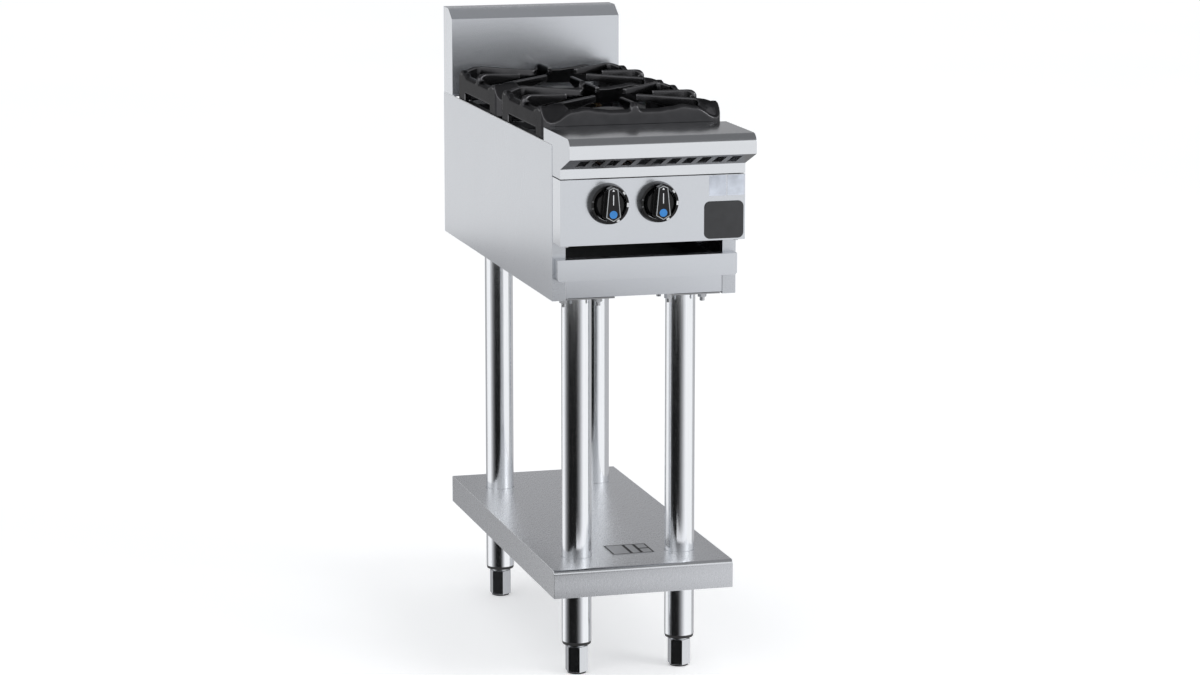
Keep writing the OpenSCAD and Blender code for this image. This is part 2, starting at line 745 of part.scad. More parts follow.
// Injector: hexagon, shank in the burner's holder, and a coned tip aimed into the mixing tube
jet_hex_r = 9;
jet_hex_l = 5;
jet_r = 6;
jet_bore_r = 1.5;
jet_tip_r = 3;
jet_tip_l = 5;
module injector(y)
    color([0.8, 0.68, 0.4]) translate([0, y, gas_z]) rotate([-90, 0, 0]) difference() {
        union() {
            cylinder(r = jet_hex_r, h = jet_hex_l, $fn = 6);
            cylinder(r = jet_r, h = injector_l - 2*jet_tip_l);
            translate([0, 0, injector_l - 2*jet_tip_l]) cylinder(r1 = jet_r, r2 = jet_tip_r, h = jet_tip_l);
        }
        translate([0, 0, jet_bore_r]) cylinder(r = jet_bore_r, h = injector_l);
    }
module injector_front() injector(jet_y[0]);
module injector_rear() injector(jet_y[1]);

// Cast burner: hollow bowl with flame ports, mixing tube, and the holder for the injector
bowl_r = cap_r - 4;
bowl_top = side_top + cap_rise - cap_dome_h - cap_rim_h - seat_gap;
bowl_z = gas_z + burner_foot_r;
bowl_wall = 4;
bowl_foot_r = 34;
rim_band_h = 8;
port_w = 2.2;
port_h = 5;
holder_t = 7;
holder_y = jet_hex_l + seat_gap - gas_end;
rib_t = 4;
lug_w = 12;
lug_drop = 18;
lug_z = bowl_top - lug_drop;
lug_x1 = cap_r + lug_w;
module burner(y) {
    color([0.32, 0.31, 0.3]) translate([0, y, 0]) difference() {
        union() {
            translate([0, 0, burner_base_z - 2*holder_t]) cylinder(r = spigot_r, h = 2*holder_t);
            rotate_extrude() polygon([[0, burner_base_z], [burner_foot_r + bowl_wall, burner_base_z],
                [burner_foot_r + bowl_wall, gas_z], [bowl_foot_r, bowl_z],
                [bowl_r, bowl_top - rim_band_h], [bowl_r, bowl_top], [0, bowl_top]]);
            rod_y(0, -neck_l, 0, gas_z, neck_r);
            rod_y(0, -neck_l, -neck_l + rib_t, gas_z, neck_r + sheet_t);
            rod_y(0, holder_y, holder_y + holder_t, gas_z, neck_r);
            for (s = [-1, 1])
                box([s*(neck_r - rib_t/2) - rib_t/2, holder_y, gas_z - rib_t],
                    [s*(neck_r - rib_t/2) + rib_t/2, -neck_l + rib_t, gas_z + rib_t]);
            for (s = [-1, 1])
                box([min(s*bowl_foot_r, s*lug_x1), -lug_w/2, lug_z - rim_band_h],
                    [max(s*bowl_foot_r, s*lug_x1), lug_w/2, lug_z]);
        }
        rotate_extrude() polygon([[0, gas_z], [bowl_foot_r - bowl_wall, bowl_z + bowl_wall],
            [bowl_r - bowl_wall, bowl_top - rim_band_h], [bowl_r - bowl_wall, bowl_top + cut],
            [0, bowl_top + cut]]);
        rod_y(0, -neck_l - cut, 0, gas_z, neck_bore_r);
        rod_y(0, -gas_end, -neck_l - rib_t, gas_z, jet_r + fit_gap);
        for (i = [0 : port_count - 1])
            rotate(360*i/port_count) translate([bowl_r - 2*bowl_wall, -port_w/2, bowl_top - port_h])
                cube([3*bowl_wall, port_w, port_h + cut]);
    }
}
module burner_front() burner(burner_y[0]);
module burner_rear() burner(burner_y[1]);

// Loose cap that lies on the burner's rim; a ring underneath keeps it in the middle
dome_r = (pow(cap_r, 2) + pow(cap_dome_h, 2))/(2*cap_dome_h);
dome_a = asin(cap_r/dome_r);
cap_z = bowl_top + seat_gap;
cap_ring_h = 4;
module burner_cap(y) {
    top = cap_z + cap_rim_h + cap_dome_h;
    inner = bowl_r - bowl_wall - seat_gap;
    color([0.16, 0.15, 0.15]) translate([0, y, 0]) difference() {
        union() {
            rotate_extrude() polygon(concat([[0, cap_z], [cap_r, cap_z]],
                arc([0, top - dome_r], dome_r, 90 - dome_a, 90, 10)));
            translate([0, 0, cap_z - cap_ring_h]) cylinder(r = inner, h = cap_ring_h);
        }
        translate([0, 0, cap_z - cap_ring_h - cut])
            cylinder(r = inner - bowl_wall, h = cap_ring_h + cut + cap_rim_h);
    }
}
module burner_cap_front() burner_cap(burner_y[0]);
module burner_cap_rear() burner_cap(burner_y[1]);

// Pilot burners and thermocouples stand on brackets beside each burner
pilot_side_gap = 8;
pilot_x = cap_r + pilot_side_gap;
pilot_clear = 5;
pilot_dy = burner_rail_w/2 + pilot_clear;
couple_pitch = 14;
couple_dy = pilot_dy + couple_pitch;
pilot_r = 4;
pilot_z = lug_z - pilot_r;
pilot_h = 18;
couple_r = 2.5;
couple_h = 31;
pilot_side = [-1, 1];
module pilot_burners()
    color([0.7, 0.6, 0.4]) for (i = [0, 1])
        translate([pilot_side[i]*pilot_x, burner_y[i], 0]) {
            difference() {
                box([-pilot_r - couple_r, -couple_dy - lug_w/2, lug_z],
                    [pilot_r, lug_w/2, lug_z + sheet_t]);
                rod_z(0, -couple_dy, lug_z - cut, lug_z + sheet_t + cut, couple_r + fit_gap);
            }
            rod_z(0, -pilot_dy, pilot_z, pilot_z + pilot_h, pilot_r);
            translate([0, -pilot_dy, lug_z + sheet_t]) cylinder(r = pilot_r + sheet_t, h = pilot_r, $fn = 6);
            box([-pilot_r, -pilot_dy - pilot_r, pilot_z + pilot_h],
                [pilot_r, -pilot_dy + pilot_r, pilot_z + pilot_h + sheet_t]);
        }
module thermocouples()
    color([0.72, 0.6, 0.5]) for (i = [0, 1])
        translate([pilot_side[i]*pilot_x, burner_y[i] - couple_dy, 0]) {
            rod_z(0, 0, lug_z - 2*pilot_r, lug_z - 2*pilot_r + couple_h, couple_r);
            translate([0, 0, lug_z - pilot_r]) cylinder(r = couple_r + sheet_t, h = pilot_r, $fn = 6);
        }

// Pilot tubes from the tops of the taps
pilot_tube_r = 2;
pilot_bend = 4;
pilot_shift = 9;
pilot_tap_y = y_panel + core_h - pilot_shift;
pilot_drop = [12, 38];
pilot_level = [gas_z - pilot_drop[0], gas_z - pilot_drop[1]];
pilot_cross = 68;
pilot_cross_y = y_deck_rear + pilot_cross;
pilot_cross_x = 40;
module pilot_tubes() {
    x = [knob_x[0] + pilot_shift, knob_x[1] + pilot_shift];
    y = [burner_y[0] - pilot_dy, burner_y[1] - pilot_dy];
    top = knob_z + tap_half;
    color([0.72, 0.48, 0.32]) {
        tube_run([[x[0], pilot_tap_y, top], [x[0], pilot_tap_y, pilot_level[0]],
            [x[0], y[0], pilot_level[0]], [-pilot_x, y[0], pilot_level[0]], [-pilot_x, y[0], pilot_z]],
            pilot_tube_r, pilot_bend);
        tube_run([[x[1], pilot_tap_y, top], [x[1], pilot_tap_y, pilot_level[1]],
            [x[1], pilot_cross_y, pilot_level[1]], [pilot_cross_x, pilot_cross_y, pilot_level[1]],
            [pilot_cross_x, y[1], pilot_level[1]], [pilot_x, y[1], pilot_level[1]],
            [pilot_x, y[1], pilot_z]], pilot_tube_r, pilot_bend);
    }
}

// Cast trivet: a wavy rim with a rounded ridge, eight tapered blades and domed corners.
// Heights are shares of the trivet's height, lengths are shares of half a wall, from its end.
trivet_h = finger_z - trivet_z;
front_rim_shares = [[0, 0.43], [0.05, 0.48], [0.32, 0.78], [0.45, 0.82], [0.6, 0.76], [0.74, 0.72],
    [0.92, 0.725], [0.97, 0.79], [1, 0.95]];
side_rim_shares = [[0, 0.5], [0.05, 0.62], [0.25, 0.9], [0.38, 0.8], [0.51, 0.695], [0.92, 0.69],
    [0.97, 0.77], [1, 0.94]];
// Height of the ridge above the outer face, as a share of its full height
front_ridge_shares = [[0, 0.5], [0.32, 0.85], [0.6, 1], [0.92, 1], [1, 0.3]];
side_ridge_shares = [[0, 0.3], [0.25, 0.15], [0.51, 1], [0.92, 1], [1, 0.3]];
// Section of the rim above its outer face: inward and upward, in shares of the rim's thickness
ridge_shares = [[0, 0], [0.114, 0.305], [0.4, 0.533], [0.781, 0.61], [1, 0.429], [0.952, -0.19]];
foot_in_share = 0.714;
front_slot_h = 26;
corner_foot = 38;
rim_steps = 27;
station_bias = 1.4;
corner_steps = 5;

// Height at a share of the wall's length, eased from one table entry to the next
function eased(t, table) =
    let (k = max([for (i = [0 : len(table) - 2]) if (table[i][0] <= t) i]),
         u = (t - table[k][0])/(table[k + 1][0] - table[k][0]))
    table[k][1] + (table[k + 1][1] - table[k][1])*(1 - cos(180*u))/2;

// One wall's stations, closer towards its middle: place, inward direction, height of the outer
// face and share of the ridge
function station_share(i) = 1 - pow(1 - i/rim_steps, station_bias);
function wall_stations(from, to, inward, heights, ridges) = [for (i = [0 : 2*rim_steps])
    let (s = station_share(min(i, 2*rim_steps - i)), u = (i < rim_steps ? s : 2 - s)/2,
         half = norm(to - from)/2, t = (s*half + rim_corner_r)/(half + rim_corner_r))
    [from + (to - from)*u, inward, trivet_h*eased(t, heights), eased(t, ridges)]];
function corner_stations(c, a0, e0, e1) = [for (i = [1 : corner_steps - 1])
    let (a = a0 + 90*i/corner_steps, v = [cos(a), sin(a)], u = i/corner_steps)
    [c + rim_corner_r*v, -v, e0[0] + (e1[0] - e0[0])*u - corner_dip*sin(180*u),
        e0[1] + (e1[1] - e0[1])*u]];
corner_dip = 9;
// Height and ridge at the end of a wall
function wall_end(half, heights, ridges) =
    [trivet_h*eased(rim_corner_r/half, heights), eased(rim_corner_r/half, ridges)];

function rim_stations() =
    let (w = trivet_w/2, d = trivet_d/2, r = rim_corner_r,
         f = wall_end(w, front_rim_shares, front_ridge_shares),
         g = wall_end(d, side_rim_shares, side_ridge_shares))
    concat(wall_stations([r - w, -d], [w - r, -d], [0, 1], front_rim_shares, front_ridge_shares),
        corner_stations([w - r, r - d], 270, f, g),
        wall_stations([w, r - d], [w, d - r], [-1, 0], side_rim_shares, side_ridge_shares),
        corner_stations([w - r, d - r], 0, g, f),
        wall_stations([w - r, d], [r - w, d], [0, -1], front_rim_shares, front_ridge_shares),
        corner_stations([r - w, d - r], 90, f, g),
        wall_stations([-w, d - r], [-w, r - d], [1, 0], side_rim_shares, side_ridge_shares),
        corner_stations([r - w, r - d], 180, g, f));

function station_points(s) = concat(
    [[s[0][0], s[0][1], 0]],
    [for (q = ridge_shares) let (p = s[0] + q[0]*rim_t*s[1]) [p[0], p[1], s[2] + s[3]*q[1]*rim_t]],
    [let (p = s[0] + foot_in_share*rim_t*s[1]) [p[0], p[1], 0]]);

module trivet_rim() {
    stations = rim_stations();
    n = len(stations);
    m = len(ridge_shares) + 2;
    points = [for (s = stations) each station_points(s)];
    quads = [for (i = [0 : n - 1], j = [0 : m - 1])
        let (a = i*m + j, b = i*m + (j + 1)%m, c = ((i + 1)%n)*m + (j + 1)%m, d = ((i + 1)%n)*m + j)
        [a, b, c, d]];
    polyhedron(points, [for (q = quads) each [[q[0], q[1], q[2]], [q[0], q[2], q[3]]]]);
}

// Section of a blade across its length: half width, top, bottom and height of the crown
crown_shares = [[1, 1], [0.88, 0.42], [0.6, 0.1], [0, 0], [-0.6, 0.1], [-0.88, 0.42], [-1, 1]];
slice_t = 0.1;
blade_draft = 0.8;
module blade_slice(x, half, top, bottom, crown)
    translate([x, 0, 0]) rotate([90, 0, 90]) linear_extrude(slice_t)
        polygon(concat([[half + blade_draft, bottom]],
            [for (q = crown_shares) [half*q[0], top - crown*q[1]]], [[-half - blade_draft, bottom]]));

// A blade along +X through its sections
module blade(sections)
    for (i = [0 : len(sections) - 2])
        hull() {
            blade_slice(sections[i][0], sections[i][1], sections[i][2], sections[i][3], sections[i][4]);
            blade_slice(sections[i + 1][0], sections[i + 1][1], sections[i + 1][2], sections[i + 1][3],
                sections[i + 1][4]);
        }

// Domed corner: share of the way from the flat blade's end to the rim, with width, drop and
// crown in shares of the corner's radius
dome_shares = [[0.15, 0.27, 0.012, 0.09], [0.3, 0.58, 0.05, 0.18], [0.45, 0.94, 0.14, 0.26],
    [0.6, 0.96, 0.3, 0.33], [0.75, 0.76, 0.56, 0.42], [0.9, 0.48, 0.92, 0.46], [1, 0.24, 1.2, 0.46]];
dome_l = 38;
dome_end = 3;
crown_h = 1;
module corner_blade() {
    w = trivet_w/2 - rim_corner_r;
    d = trivet_d/2 - rim_corner_r;
    end = norm([w, d]) + rim_corner_r - dome_end;
    flat_end = end - dome_l;
    tip = trivet_h - finger_tip_h;
    root = trivet_h - finger_root_h;
    r = rim_corner_r;
    rotate(atan2(d, w)) blade(concat(
        [[open_r, finger_t/2, trivet_h, tip, crown_h],
            [flat_end, finger_t/2, trivet_h, root, crown_h]],
        [for (q = dome_shares)
            [flat_end + q[0]*dome_l, q[1]*r, trivet_h - q[2]*r, root - q[0]*finger_root_h, q[3]*r]]));
}

// Blade of a wall. It widens into the rim: distance from the outer face in shares of the rim's
// thickness, half width in shares of the finger's, drop and crown in shares of the rim's thickness
wall_end_shares = [[1.4, 1.15, 0, 0.13], [1, 1.7, 0.03, 0.3], [0.6, 2.6, 0.1, 0.75],
    [0.3, 2.6, 0.25, 0.85], [0.02, 2, 0.55, 0.8]];
module wall_blade(reach) {
    tip = trivet_h - finger_tip_h;
    root = trivet_h - finger_root_h;
    blade(concat(
        [[side_finger_r, finger_t/2, trivet_h, tip, crown_h],
            [reach - 2*rim_t, finger_t/2, trivet_h, root, crown_h]],
        [for (q = wall_end_shares) [reach - slice_t - q[0]*rim_t, q[1]*finger_t/2,
            trivet_h - q[2]*rim_t, root, q[3]*rim_t]]));
}

module trivet(y)
    color([0.09, 0.09, 0.095]) translate([0, y, trivet_z + seat_gap]) difference() {
        union() {
            trivet_rim();
            for (i = [-1, 1]) {
                mirror([i < 0 ? 1 : 0, 0, 0]) {
                    corner_blade();
                    mirror([0, 1, 0]) corner_blade();
                    wall_blade(trivet_w/2);
                }
                rotate(i*90) wall_blade(trivet_d/2);
            }
        }
        box([-trivet_w, -rim_slot_l/2, -cut], [trivet_w, rim_slot_l/2, rim_slot_h]);
        box([corner_foot - trivet_w/2, -trivet_d, -cut], [trivet_w/2 - corner_foot, trivet_d, front_slot_h]);
    }
module trivet_front() trivet(burner_y[0]);
module trivet_rear() trivet(burner_y[1]);

// Drip tray: an open basin behind a folded front
module drip_tray() {
    y0 = tray_y + sheet_t;
    z1 = basin_z + basin_h;
    color([0.72, 0.73, 0.75]) difference() {
        box([-basin_hw, y0, basin_z], [basin_hw, basin_y1, z1]);
        box([-basin_hw + sheet_t, y0 + sheet_t, basin_z + sheet_t],
            [basin_hw - sheet_t, basin_y1 - sheet_t, z1 + cut]);
    }
}
module tray_front() {
    w = hw - tray_side;
    y1 = y_post - seat_gap;
    top = tray_z + tray_front_h;
    color([0.79, 0.8, 0.83]) difference() {
        translate([0, y1, tray_z]) rotate([90, 0, 0]) linear_extrude(y1 - tray_y) union() {
            translate([-w, corner_r]) square([2*w, tray_front_h - corner_r]);
            translate([corner_r - w, 0]) square([2*w - 2*corner_r, corner_r]);
            for (x = [corner_r - w, w - corner_r])
                translate([x, corner_r]) circle(corner_r);
        }
        box([sheet_t - w, tray_y + sheet_t, tray_z - cut], [w - sheet_t, y1 + cut, top - sheet_t]);
    }
}

// Leg stand
module at_legs()
    for (x = [-leg_x, leg_x], y = leg_y)
        translate([x, y, 0]) children();
module leg_plates()
    color([0.7, 0.71, 0.73]) at_legs() difference() {
        box([-plate_w/2, -plate_w/2, tube_top], [plate_w/2, plate_w/2, body_z]);
        bolt_holes(tube_top, body_z, [0]);
    }
module leg_tube(x, y)
    color([0.72, 0.74, 0.77]) translate([x, y, tube_z]) difference() {
        cylinder(r = leg_r, h = tube_top - tube_z);
        translate([0, 0, -cut]) cylinder(r = leg_r - leg_wall, h = tube_top - tube_z + 2*cut);
    }
module leg_tube_front_left() leg_tube(-leg_x, leg_y[0]);
module leg_tube_front_right() leg_tube(leg_x, leg_y[0]);
module leg_tube_rear_left() leg_tube(-leg_x, leg_y[1]);
module leg_tube_rear_right() leg_tube(leg_x, leg_y[1]);

// Undershelf with a rounded front, turned-down edges and holes for the legs
shelf_hem = 12;
shelf_slack = 0.5;
module undershelf() {
    y1 = y_rear - shelf_rear;
    z0 = shelf_z - shelf_edge_h;
    nose = arc([shelf_y0 + shelf_nose_r, shelf_z - shelf_nose_r], shelf_nose_r, 90, 180, 8);
    side = concat([[y1, z0], [y1, shelf_z]], nose, [[shelf_y0, z0]]);
    color([0.78, 0.79, 0.82]) difference() {
        union() {
            fold_x(concat([[y1 - shelf_hem, z0], [y1, z0], [y1, shelf_z]], nose,
                [[shelf_y0, z0], [shelf_y0 + shelf_hem, z0]]), -shelf_hw, shelf_hw);
            plate_x(side, -shelf_hw, sheet_t);
            plate_x(side, shelf_hw - sheet_t, sheet_t);
        }
        at_legs() rod_z(0, 0, shelf_z - sheet_t - cut, shelf_z + cut, leg_r + shelf_slack);
    }
}
module shelf_collars()
    color([0.66, 0.67, 0.7]) at_legs() difference() {
        rod_z(0, 0, shelf_z - sheet_t - collar_h, shelf_z - sheet_t, leg_r + collar_w);
        rod_z(0, 0, shelf_z - sheet_t - collar_h - cut, shelf_z, leg_r + fit_gap);
    }

// Black inserts in the tube ends and the screwed feet
insert_taper = 1.2;
module foot_inserts()
    color([0.05, 0.05, 0.055]) at_legs() difference() {
        union() {
            translate([0, 0, foot_h])
                cylinder(r1 = leg_r - insert_taper, r2 = leg_r, h = foot_flange_t);
            rod_z(0, 0, foot_h, tube_z + insert_l, leg_r - leg_wall - fit_gap);
        }
        rod_z(0, 0, foot_h - cut, tube_z + insert_l + cut, stem_r + fit_gap);
    }
pad_h = 3;
foot_neck_h = 4;
foot_neck_share = 0.8;
stem_end = 4;
module foot(x, y)
    color([0.76, 0.77, 0.8]) translate([x, y, 0]) {
        cylinder(r = foot_neck_share*foot_d/2, h = pad_h);
        translate([0, 0, pad_h]) rotate(30)
            cylinder(r = foot_d/2, h = foot_h - foot_neck_h - pad_h, $fn = 6);
        cylinder(r = foot_neck_share*foot_d/2, h = foot_h - seat_gap);
        cylinder(r = stem_r, h = tube_z + insert_l - stem_end);
    }
module foot_front_left() foot(-leg_x, leg_y[0]);
module foot_front_right() foot(leg_x, leg_y[0]);
module foot_rear_left() foot(-leg_x, leg_y[1]);
module foot_rear_right() foot(leg_x, leg_y[1]);

// Bolts through the channels and the leg plates, with washers and nuts
washer_t = 1.6;
washer_r = bolt_d;
head_h = 5.3;
nut_h = 8;
hex_share = 0.92;
stud_l = 6.5;
module leg_bolts() {
    top = body_z + channel_t;
    nut_z = tube_top - washer_t - nut_h;
    color([0.66, 0.67, 0.68]) at_legs()
        for (i = [-1, 1], j = [-1, 1])
            translate([i*bolt_pitch/2, j*bolt_pitch/2, 0]) {
                rod_z(0, 0, nut_z - stud_l, top + head_h, bolt_d/2);
                translate([0, 0, top]) cylinder(r = hex_share*bolt_d, h = head_h, $fn = 6);
                rod_z(0, 0, tube_top - washer_t, tube_top, washer_r);
                translate([0, 0, nut_z]) cylinder(r = hex_share*bolt_d, h = nut_h, $fn = 6);
            }
}

// Small screws under the panel's lower edge
screw_inset = 12.5;
screw_x = hw - screw_inset;
screw_r = 2;
screw_head_r = 3.6;
screw_head_h = 2.2;
screw_l = 9;
screw_y = y_panel + panel_fold/2;
module panel_screws()
    color([0.7, 0.71, 0.73]) for (x = [-screw_x, screw_x]) {
        rod_z(x, screw_y, panel_z - screw_head_h, panel_z, screw_head_r);
        rod_z(x, screw_y, panel_z - screw_head_h, panel_z + screw_l, screw_r);
    }

side_panel_left();
side_panel_right();
back_panel();
splashback();
splashback_back();
hob_front();
control_panel();
lower_front_rail();
base_channel_left();
base_channel_right();
trivet_ledge_left();
trivet_ledge_right();
centre_bar();
burner_rail_front();
burner_rail_rear();
tray_runner_left();
tray_runner_right();
gas_pipe();
gas_manifold();
gas_tap_left();
gas_tap_right();
tap_collar_left();
tap_collar_right();
tap_spindle_left();
tap_spindle_right();
knob_left();
knob_right();
knob_bezel_left();
knob_bezel_right();
gas_tube_front();
gas_tube_rear();
injector_front();
injector_rear();
burner_front();
burner_rear();
burner_cap_front();
burner_cap_rear();
pilot_burners();
thermocouples();
pilot_tubes();
trivet_front();
trivet_rear();
drip_tray();
tray_front();
leg_plates();
leg_tube_front_left();
leg_tube_front_right();
leg_tube_rear_left();
leg_tube_rear_right();
undershelf();
shelf_collars();
foot_inserts();
foot_front_left();
foot_front_right();
foot_rear_left();
foot_rear_right();
leg_bolts();
panel_screws();
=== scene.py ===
"""Looks of a two-burner gas boiling top on a leg stand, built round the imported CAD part. Metres, +Z up."""

import json
import math

import bmesh
import bpy
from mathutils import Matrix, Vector

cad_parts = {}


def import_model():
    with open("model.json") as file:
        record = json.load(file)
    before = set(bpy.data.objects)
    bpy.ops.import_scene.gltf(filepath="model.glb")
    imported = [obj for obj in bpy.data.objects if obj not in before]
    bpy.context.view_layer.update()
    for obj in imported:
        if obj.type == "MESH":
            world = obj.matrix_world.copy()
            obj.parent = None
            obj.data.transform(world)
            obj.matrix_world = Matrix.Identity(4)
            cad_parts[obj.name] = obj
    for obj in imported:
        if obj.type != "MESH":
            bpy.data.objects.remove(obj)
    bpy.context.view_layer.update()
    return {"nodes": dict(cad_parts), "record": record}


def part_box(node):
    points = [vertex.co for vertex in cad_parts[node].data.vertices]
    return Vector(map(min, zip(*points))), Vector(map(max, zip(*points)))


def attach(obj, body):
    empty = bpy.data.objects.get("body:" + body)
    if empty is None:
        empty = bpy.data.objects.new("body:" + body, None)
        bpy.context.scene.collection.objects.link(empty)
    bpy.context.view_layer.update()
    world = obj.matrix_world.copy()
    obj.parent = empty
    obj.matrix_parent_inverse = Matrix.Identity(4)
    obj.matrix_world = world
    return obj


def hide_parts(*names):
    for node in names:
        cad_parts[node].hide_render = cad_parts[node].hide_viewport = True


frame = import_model()
NODES = frame["nodes"]
MM = 0.001

SIDES = ("left", "right")
ENDS = ("front", "rear")
CORNERS = [end + "_" + side for end in ENDS for side in SIDES]


def box(node):
    low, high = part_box(node)
    return Vector(low), Vector(high)


def body_with(node):
    for body, members in frame["record"]["behaviour"]["bodies"].items():
        if node in members:
            return body
    raise KeyError(node)


def new_object(name, data):
    obj = bpy.data.objects.new(name, data)
    bpy.context.scene.collection.objects.link(obj)
    return obj


# Shader helpers

# The stretch of values that a noise mostly fills
NOISE_LOW, NOISE_HIGH = 0.3, 0.7


def new_material(name):
    material = bpy.data.materials.new(name)
    material.use_nodes = True
    tree = material.node_tree
    return material, tree, tree.nodes["Principled BSDF"]


def link(tree, a, b):
    tree.links.new(a, b)


def math_node(tree, operation, *values):
    """A math node fed with sockets or plain numbers."""
    node = tree.nodes.new("ShaderNodeMath")
    node.operation = operation
    for slot, value in zip(node.inputs, values):
        if isinstance(value, float):
            slot.default_value = value
        else:
            link(tree, value, slot)
    return node.outputs[0]


def noise(tree, scale, detail, roughness):
    coords = tree.nodes.new("ShaderNodeTexCoord")
    mapping = tree.nodes.new("ShaderNodeMapping")
    mapping.inputs["Scale"].default_value = scale
    link(tree, coords.outputs["Object"], mapping.inputs["Vector"])
    node = tree.nodes.new("ShaderNodeTexNoise")
    node.inputs["Scale"].default_value = 1.0
    node.inputs["Detail"].default_value = detail
    node.inputs["Roughness"].default_value = roughness
    link(tree, mapping.outputs["Vector"], node.inputs["Vector"])
    return node.outputs["Fac"]


def vary_colour(tree, shader, value, dark, light):
    """Lets the base colour follow a noise from dark to light."""
    ramp = tree.nodes.new("ShaderNodeValToRGB")
    for stop, position, colour in zip(ramp.color_ramp.elements, (NOISE_LOW, NOISE_HIGH), (dark, light)):
        stop.position = position
        stop.color = (*colour, 1)
    link(tree, value, ramp.inputs["Fac"])
    link(tree, ramp.outputs["Color"], shader.inputs["Base Color"])


def vary_sheen(tree, shader, value, roughness, factors):
    """Lets the roughness follow a noise between two factors of its level."""
    node = tree.nodes.new("ShaderNodeMapRange")
    node.inputs["From Min"].default_value = NOISE_LOW
    node.inputs["From Max"].default_value = NOISE_HIGH
    node.inputs["To Min"].default_value = roughness * factors[0]
    node.inputs["To Max"].default_value = roughness * factors[1]
    link(tree, value, node.inputs["Value"])
    link(tree, node.outputs["Result"], shader.inputs["Roughness"])


def raise_grain(tree, shader, value, strength, height):
    node = tree.nodes.new("ShaderNodeBump")
    node.inputs["Strength"].default_value = strength
    node.inputs["Distance"].default_value = height
    link(tree, value, node.inputs["Height"])
    link(tree, node.outputs["Normal"], shader.inputs["Normal"])


def scaled(colour, factor):
    return tuple(min(1.0, c * factor) for c in colour)


# Kinds of finish

# How far each finish's roughness swings, as factors of its level
STEEL_SWING = (0.85, 1.15)
POLISH_SWING = (0.8, 1.25)
CAST_SWING = (0.85, 1.2)
PLASTIC_SWING = (0.85, 1.15)
# How far colours swing
POLISH_TONES = (0.975, 1.02)
PLASTIC_TONES = (0.85, 1.15)
# Height of the grain in the surface
STEEL_GRAIN_H = 0.2 * MM
CAST_GRAIN_H = 0.25 * MM
PLASTIC_GRAIN_H = 0.05 * MM
# Clouds on sheet steel: their noise scale and their share beside the scratches
STEEL_CLOUDS = (9.0, 9.0, 9.0)
CLOUD_SHARE = 0.3
SCRATCH_SHARE = 0.7
# Patches are this many times larger than the grain
CAST_PATCH = 14
PLASTIC_PATCH = 30
COAT_ROUGHNESS = 0.08


def brushed_steel(name, colour, roughness, grain, contrast, depth=0.03, metallic=1.0):
    """Sheet steel with fine scratches along one direction and faint clouds."""
    material, tree, shader = new_material(name)
    shader.inputs["Metallic"].default_value = metallic
    scratches = noise(tree, grain, detail=4.0, roughness=0.6)
    clouds = noise(tree, STEEL_CLOUDS, detail=2.0, roughness=0.5)
    faint_clouds = math_node(tree, "MULTIPLY", clouds, CLOUD_SHARE)
    mix = math_node(tree, "MULTIPLY_ADD", scratches, SCRATCH_SHARE, faint_clouds)
    vary_colour(tree, shader, mix, scaled(colour, 1 - contrast), scaled(colour, 1 + contrast))
    vary_sheen(tree, shader, scratches, roughness, STEEL_SWING)
    raise_grain(tree, shader, scratches, depth, STEEL_GRAIN_H)
    return material


def polished(name, colour, roughness, grain):
    material, tree, shader = new_material(name)
    shader.inputs["Metallic"].default_value = 1.0
    streaks = noise(tree, grain, detail=3.0, roughness=0.6)
    dark, light = (scaled(colour, tone) for tone in POLISH_TONES)
    vary_colour(tree, shader, streaks, dark, light)
    vary_sheen(tree, shader, streaks, roughness, POLISH_SWING)
    return material


def cast_iron(name, dark, light, roughness, grain_mm, depth, metallic=0.0, specular=0.5, edge=1.0):
    """Sand-cast iron: grain, patches and a slightly uneven sheen; edge dims it at flat angles."""
    material, tree, shader = new_material(name)
    shader.inputs["Metallic"].default_value = metallic
    shader.inputs["Specular Tint"].default_value = (edge, edge, edge, 1)
    shader.inputs["Specular IOR Level"].default_value = specular
    cell = 1.0 / (grain_mm * MM)
    grain = noise(tree, (cell,) * 3, detail=5.0, roughness=0.65)
    patches = noise(tree, (cell / CAST_PATCH,) * 3, detail=3.0, roughness=0.5)
    vary_colour(tree, shader, patches, dark, light)
    vary_sheen(tree, shader, grain, roughness, CAST_SWING)
    raise_grain(tree, shader, grain, depth, CAST_GRAIN_H)
    return material


def paint_edge_highlight(material, colour, start, full):
    """Lightens the base colour along its outward edges, found by pointiness: a painted highlight."""
    tree = material.node_tree
    shader = tree.nodes["Principled BSDF"]
    base = shader.inputs["Base Color"].links[0].from_socket
    shape = tree.nodes.new("ShaderNodeNewGeometry")
    reach = tree.nodes.new("ShaderNodeMapRange")
    reach.inputs["From Min"].default_value = start
    reach.inputs["From Max"].default_value = full
    link(tree, shape.outputs["Pointiness"], reach.inputs["Value"])
    mix = tree.nodes.new("ShaderNodeMix")
    mix.data_type = "RGBA"
    link(tree, reach.outputs["Result"], mix.inputs["Factor"])
    link(tree, base, mix.inputs["A"])
    mix.inputs["B"].default_value = (*colour, 1)
    link(tree, mix.outputs["Result"], shader.inputs["Base Color"])


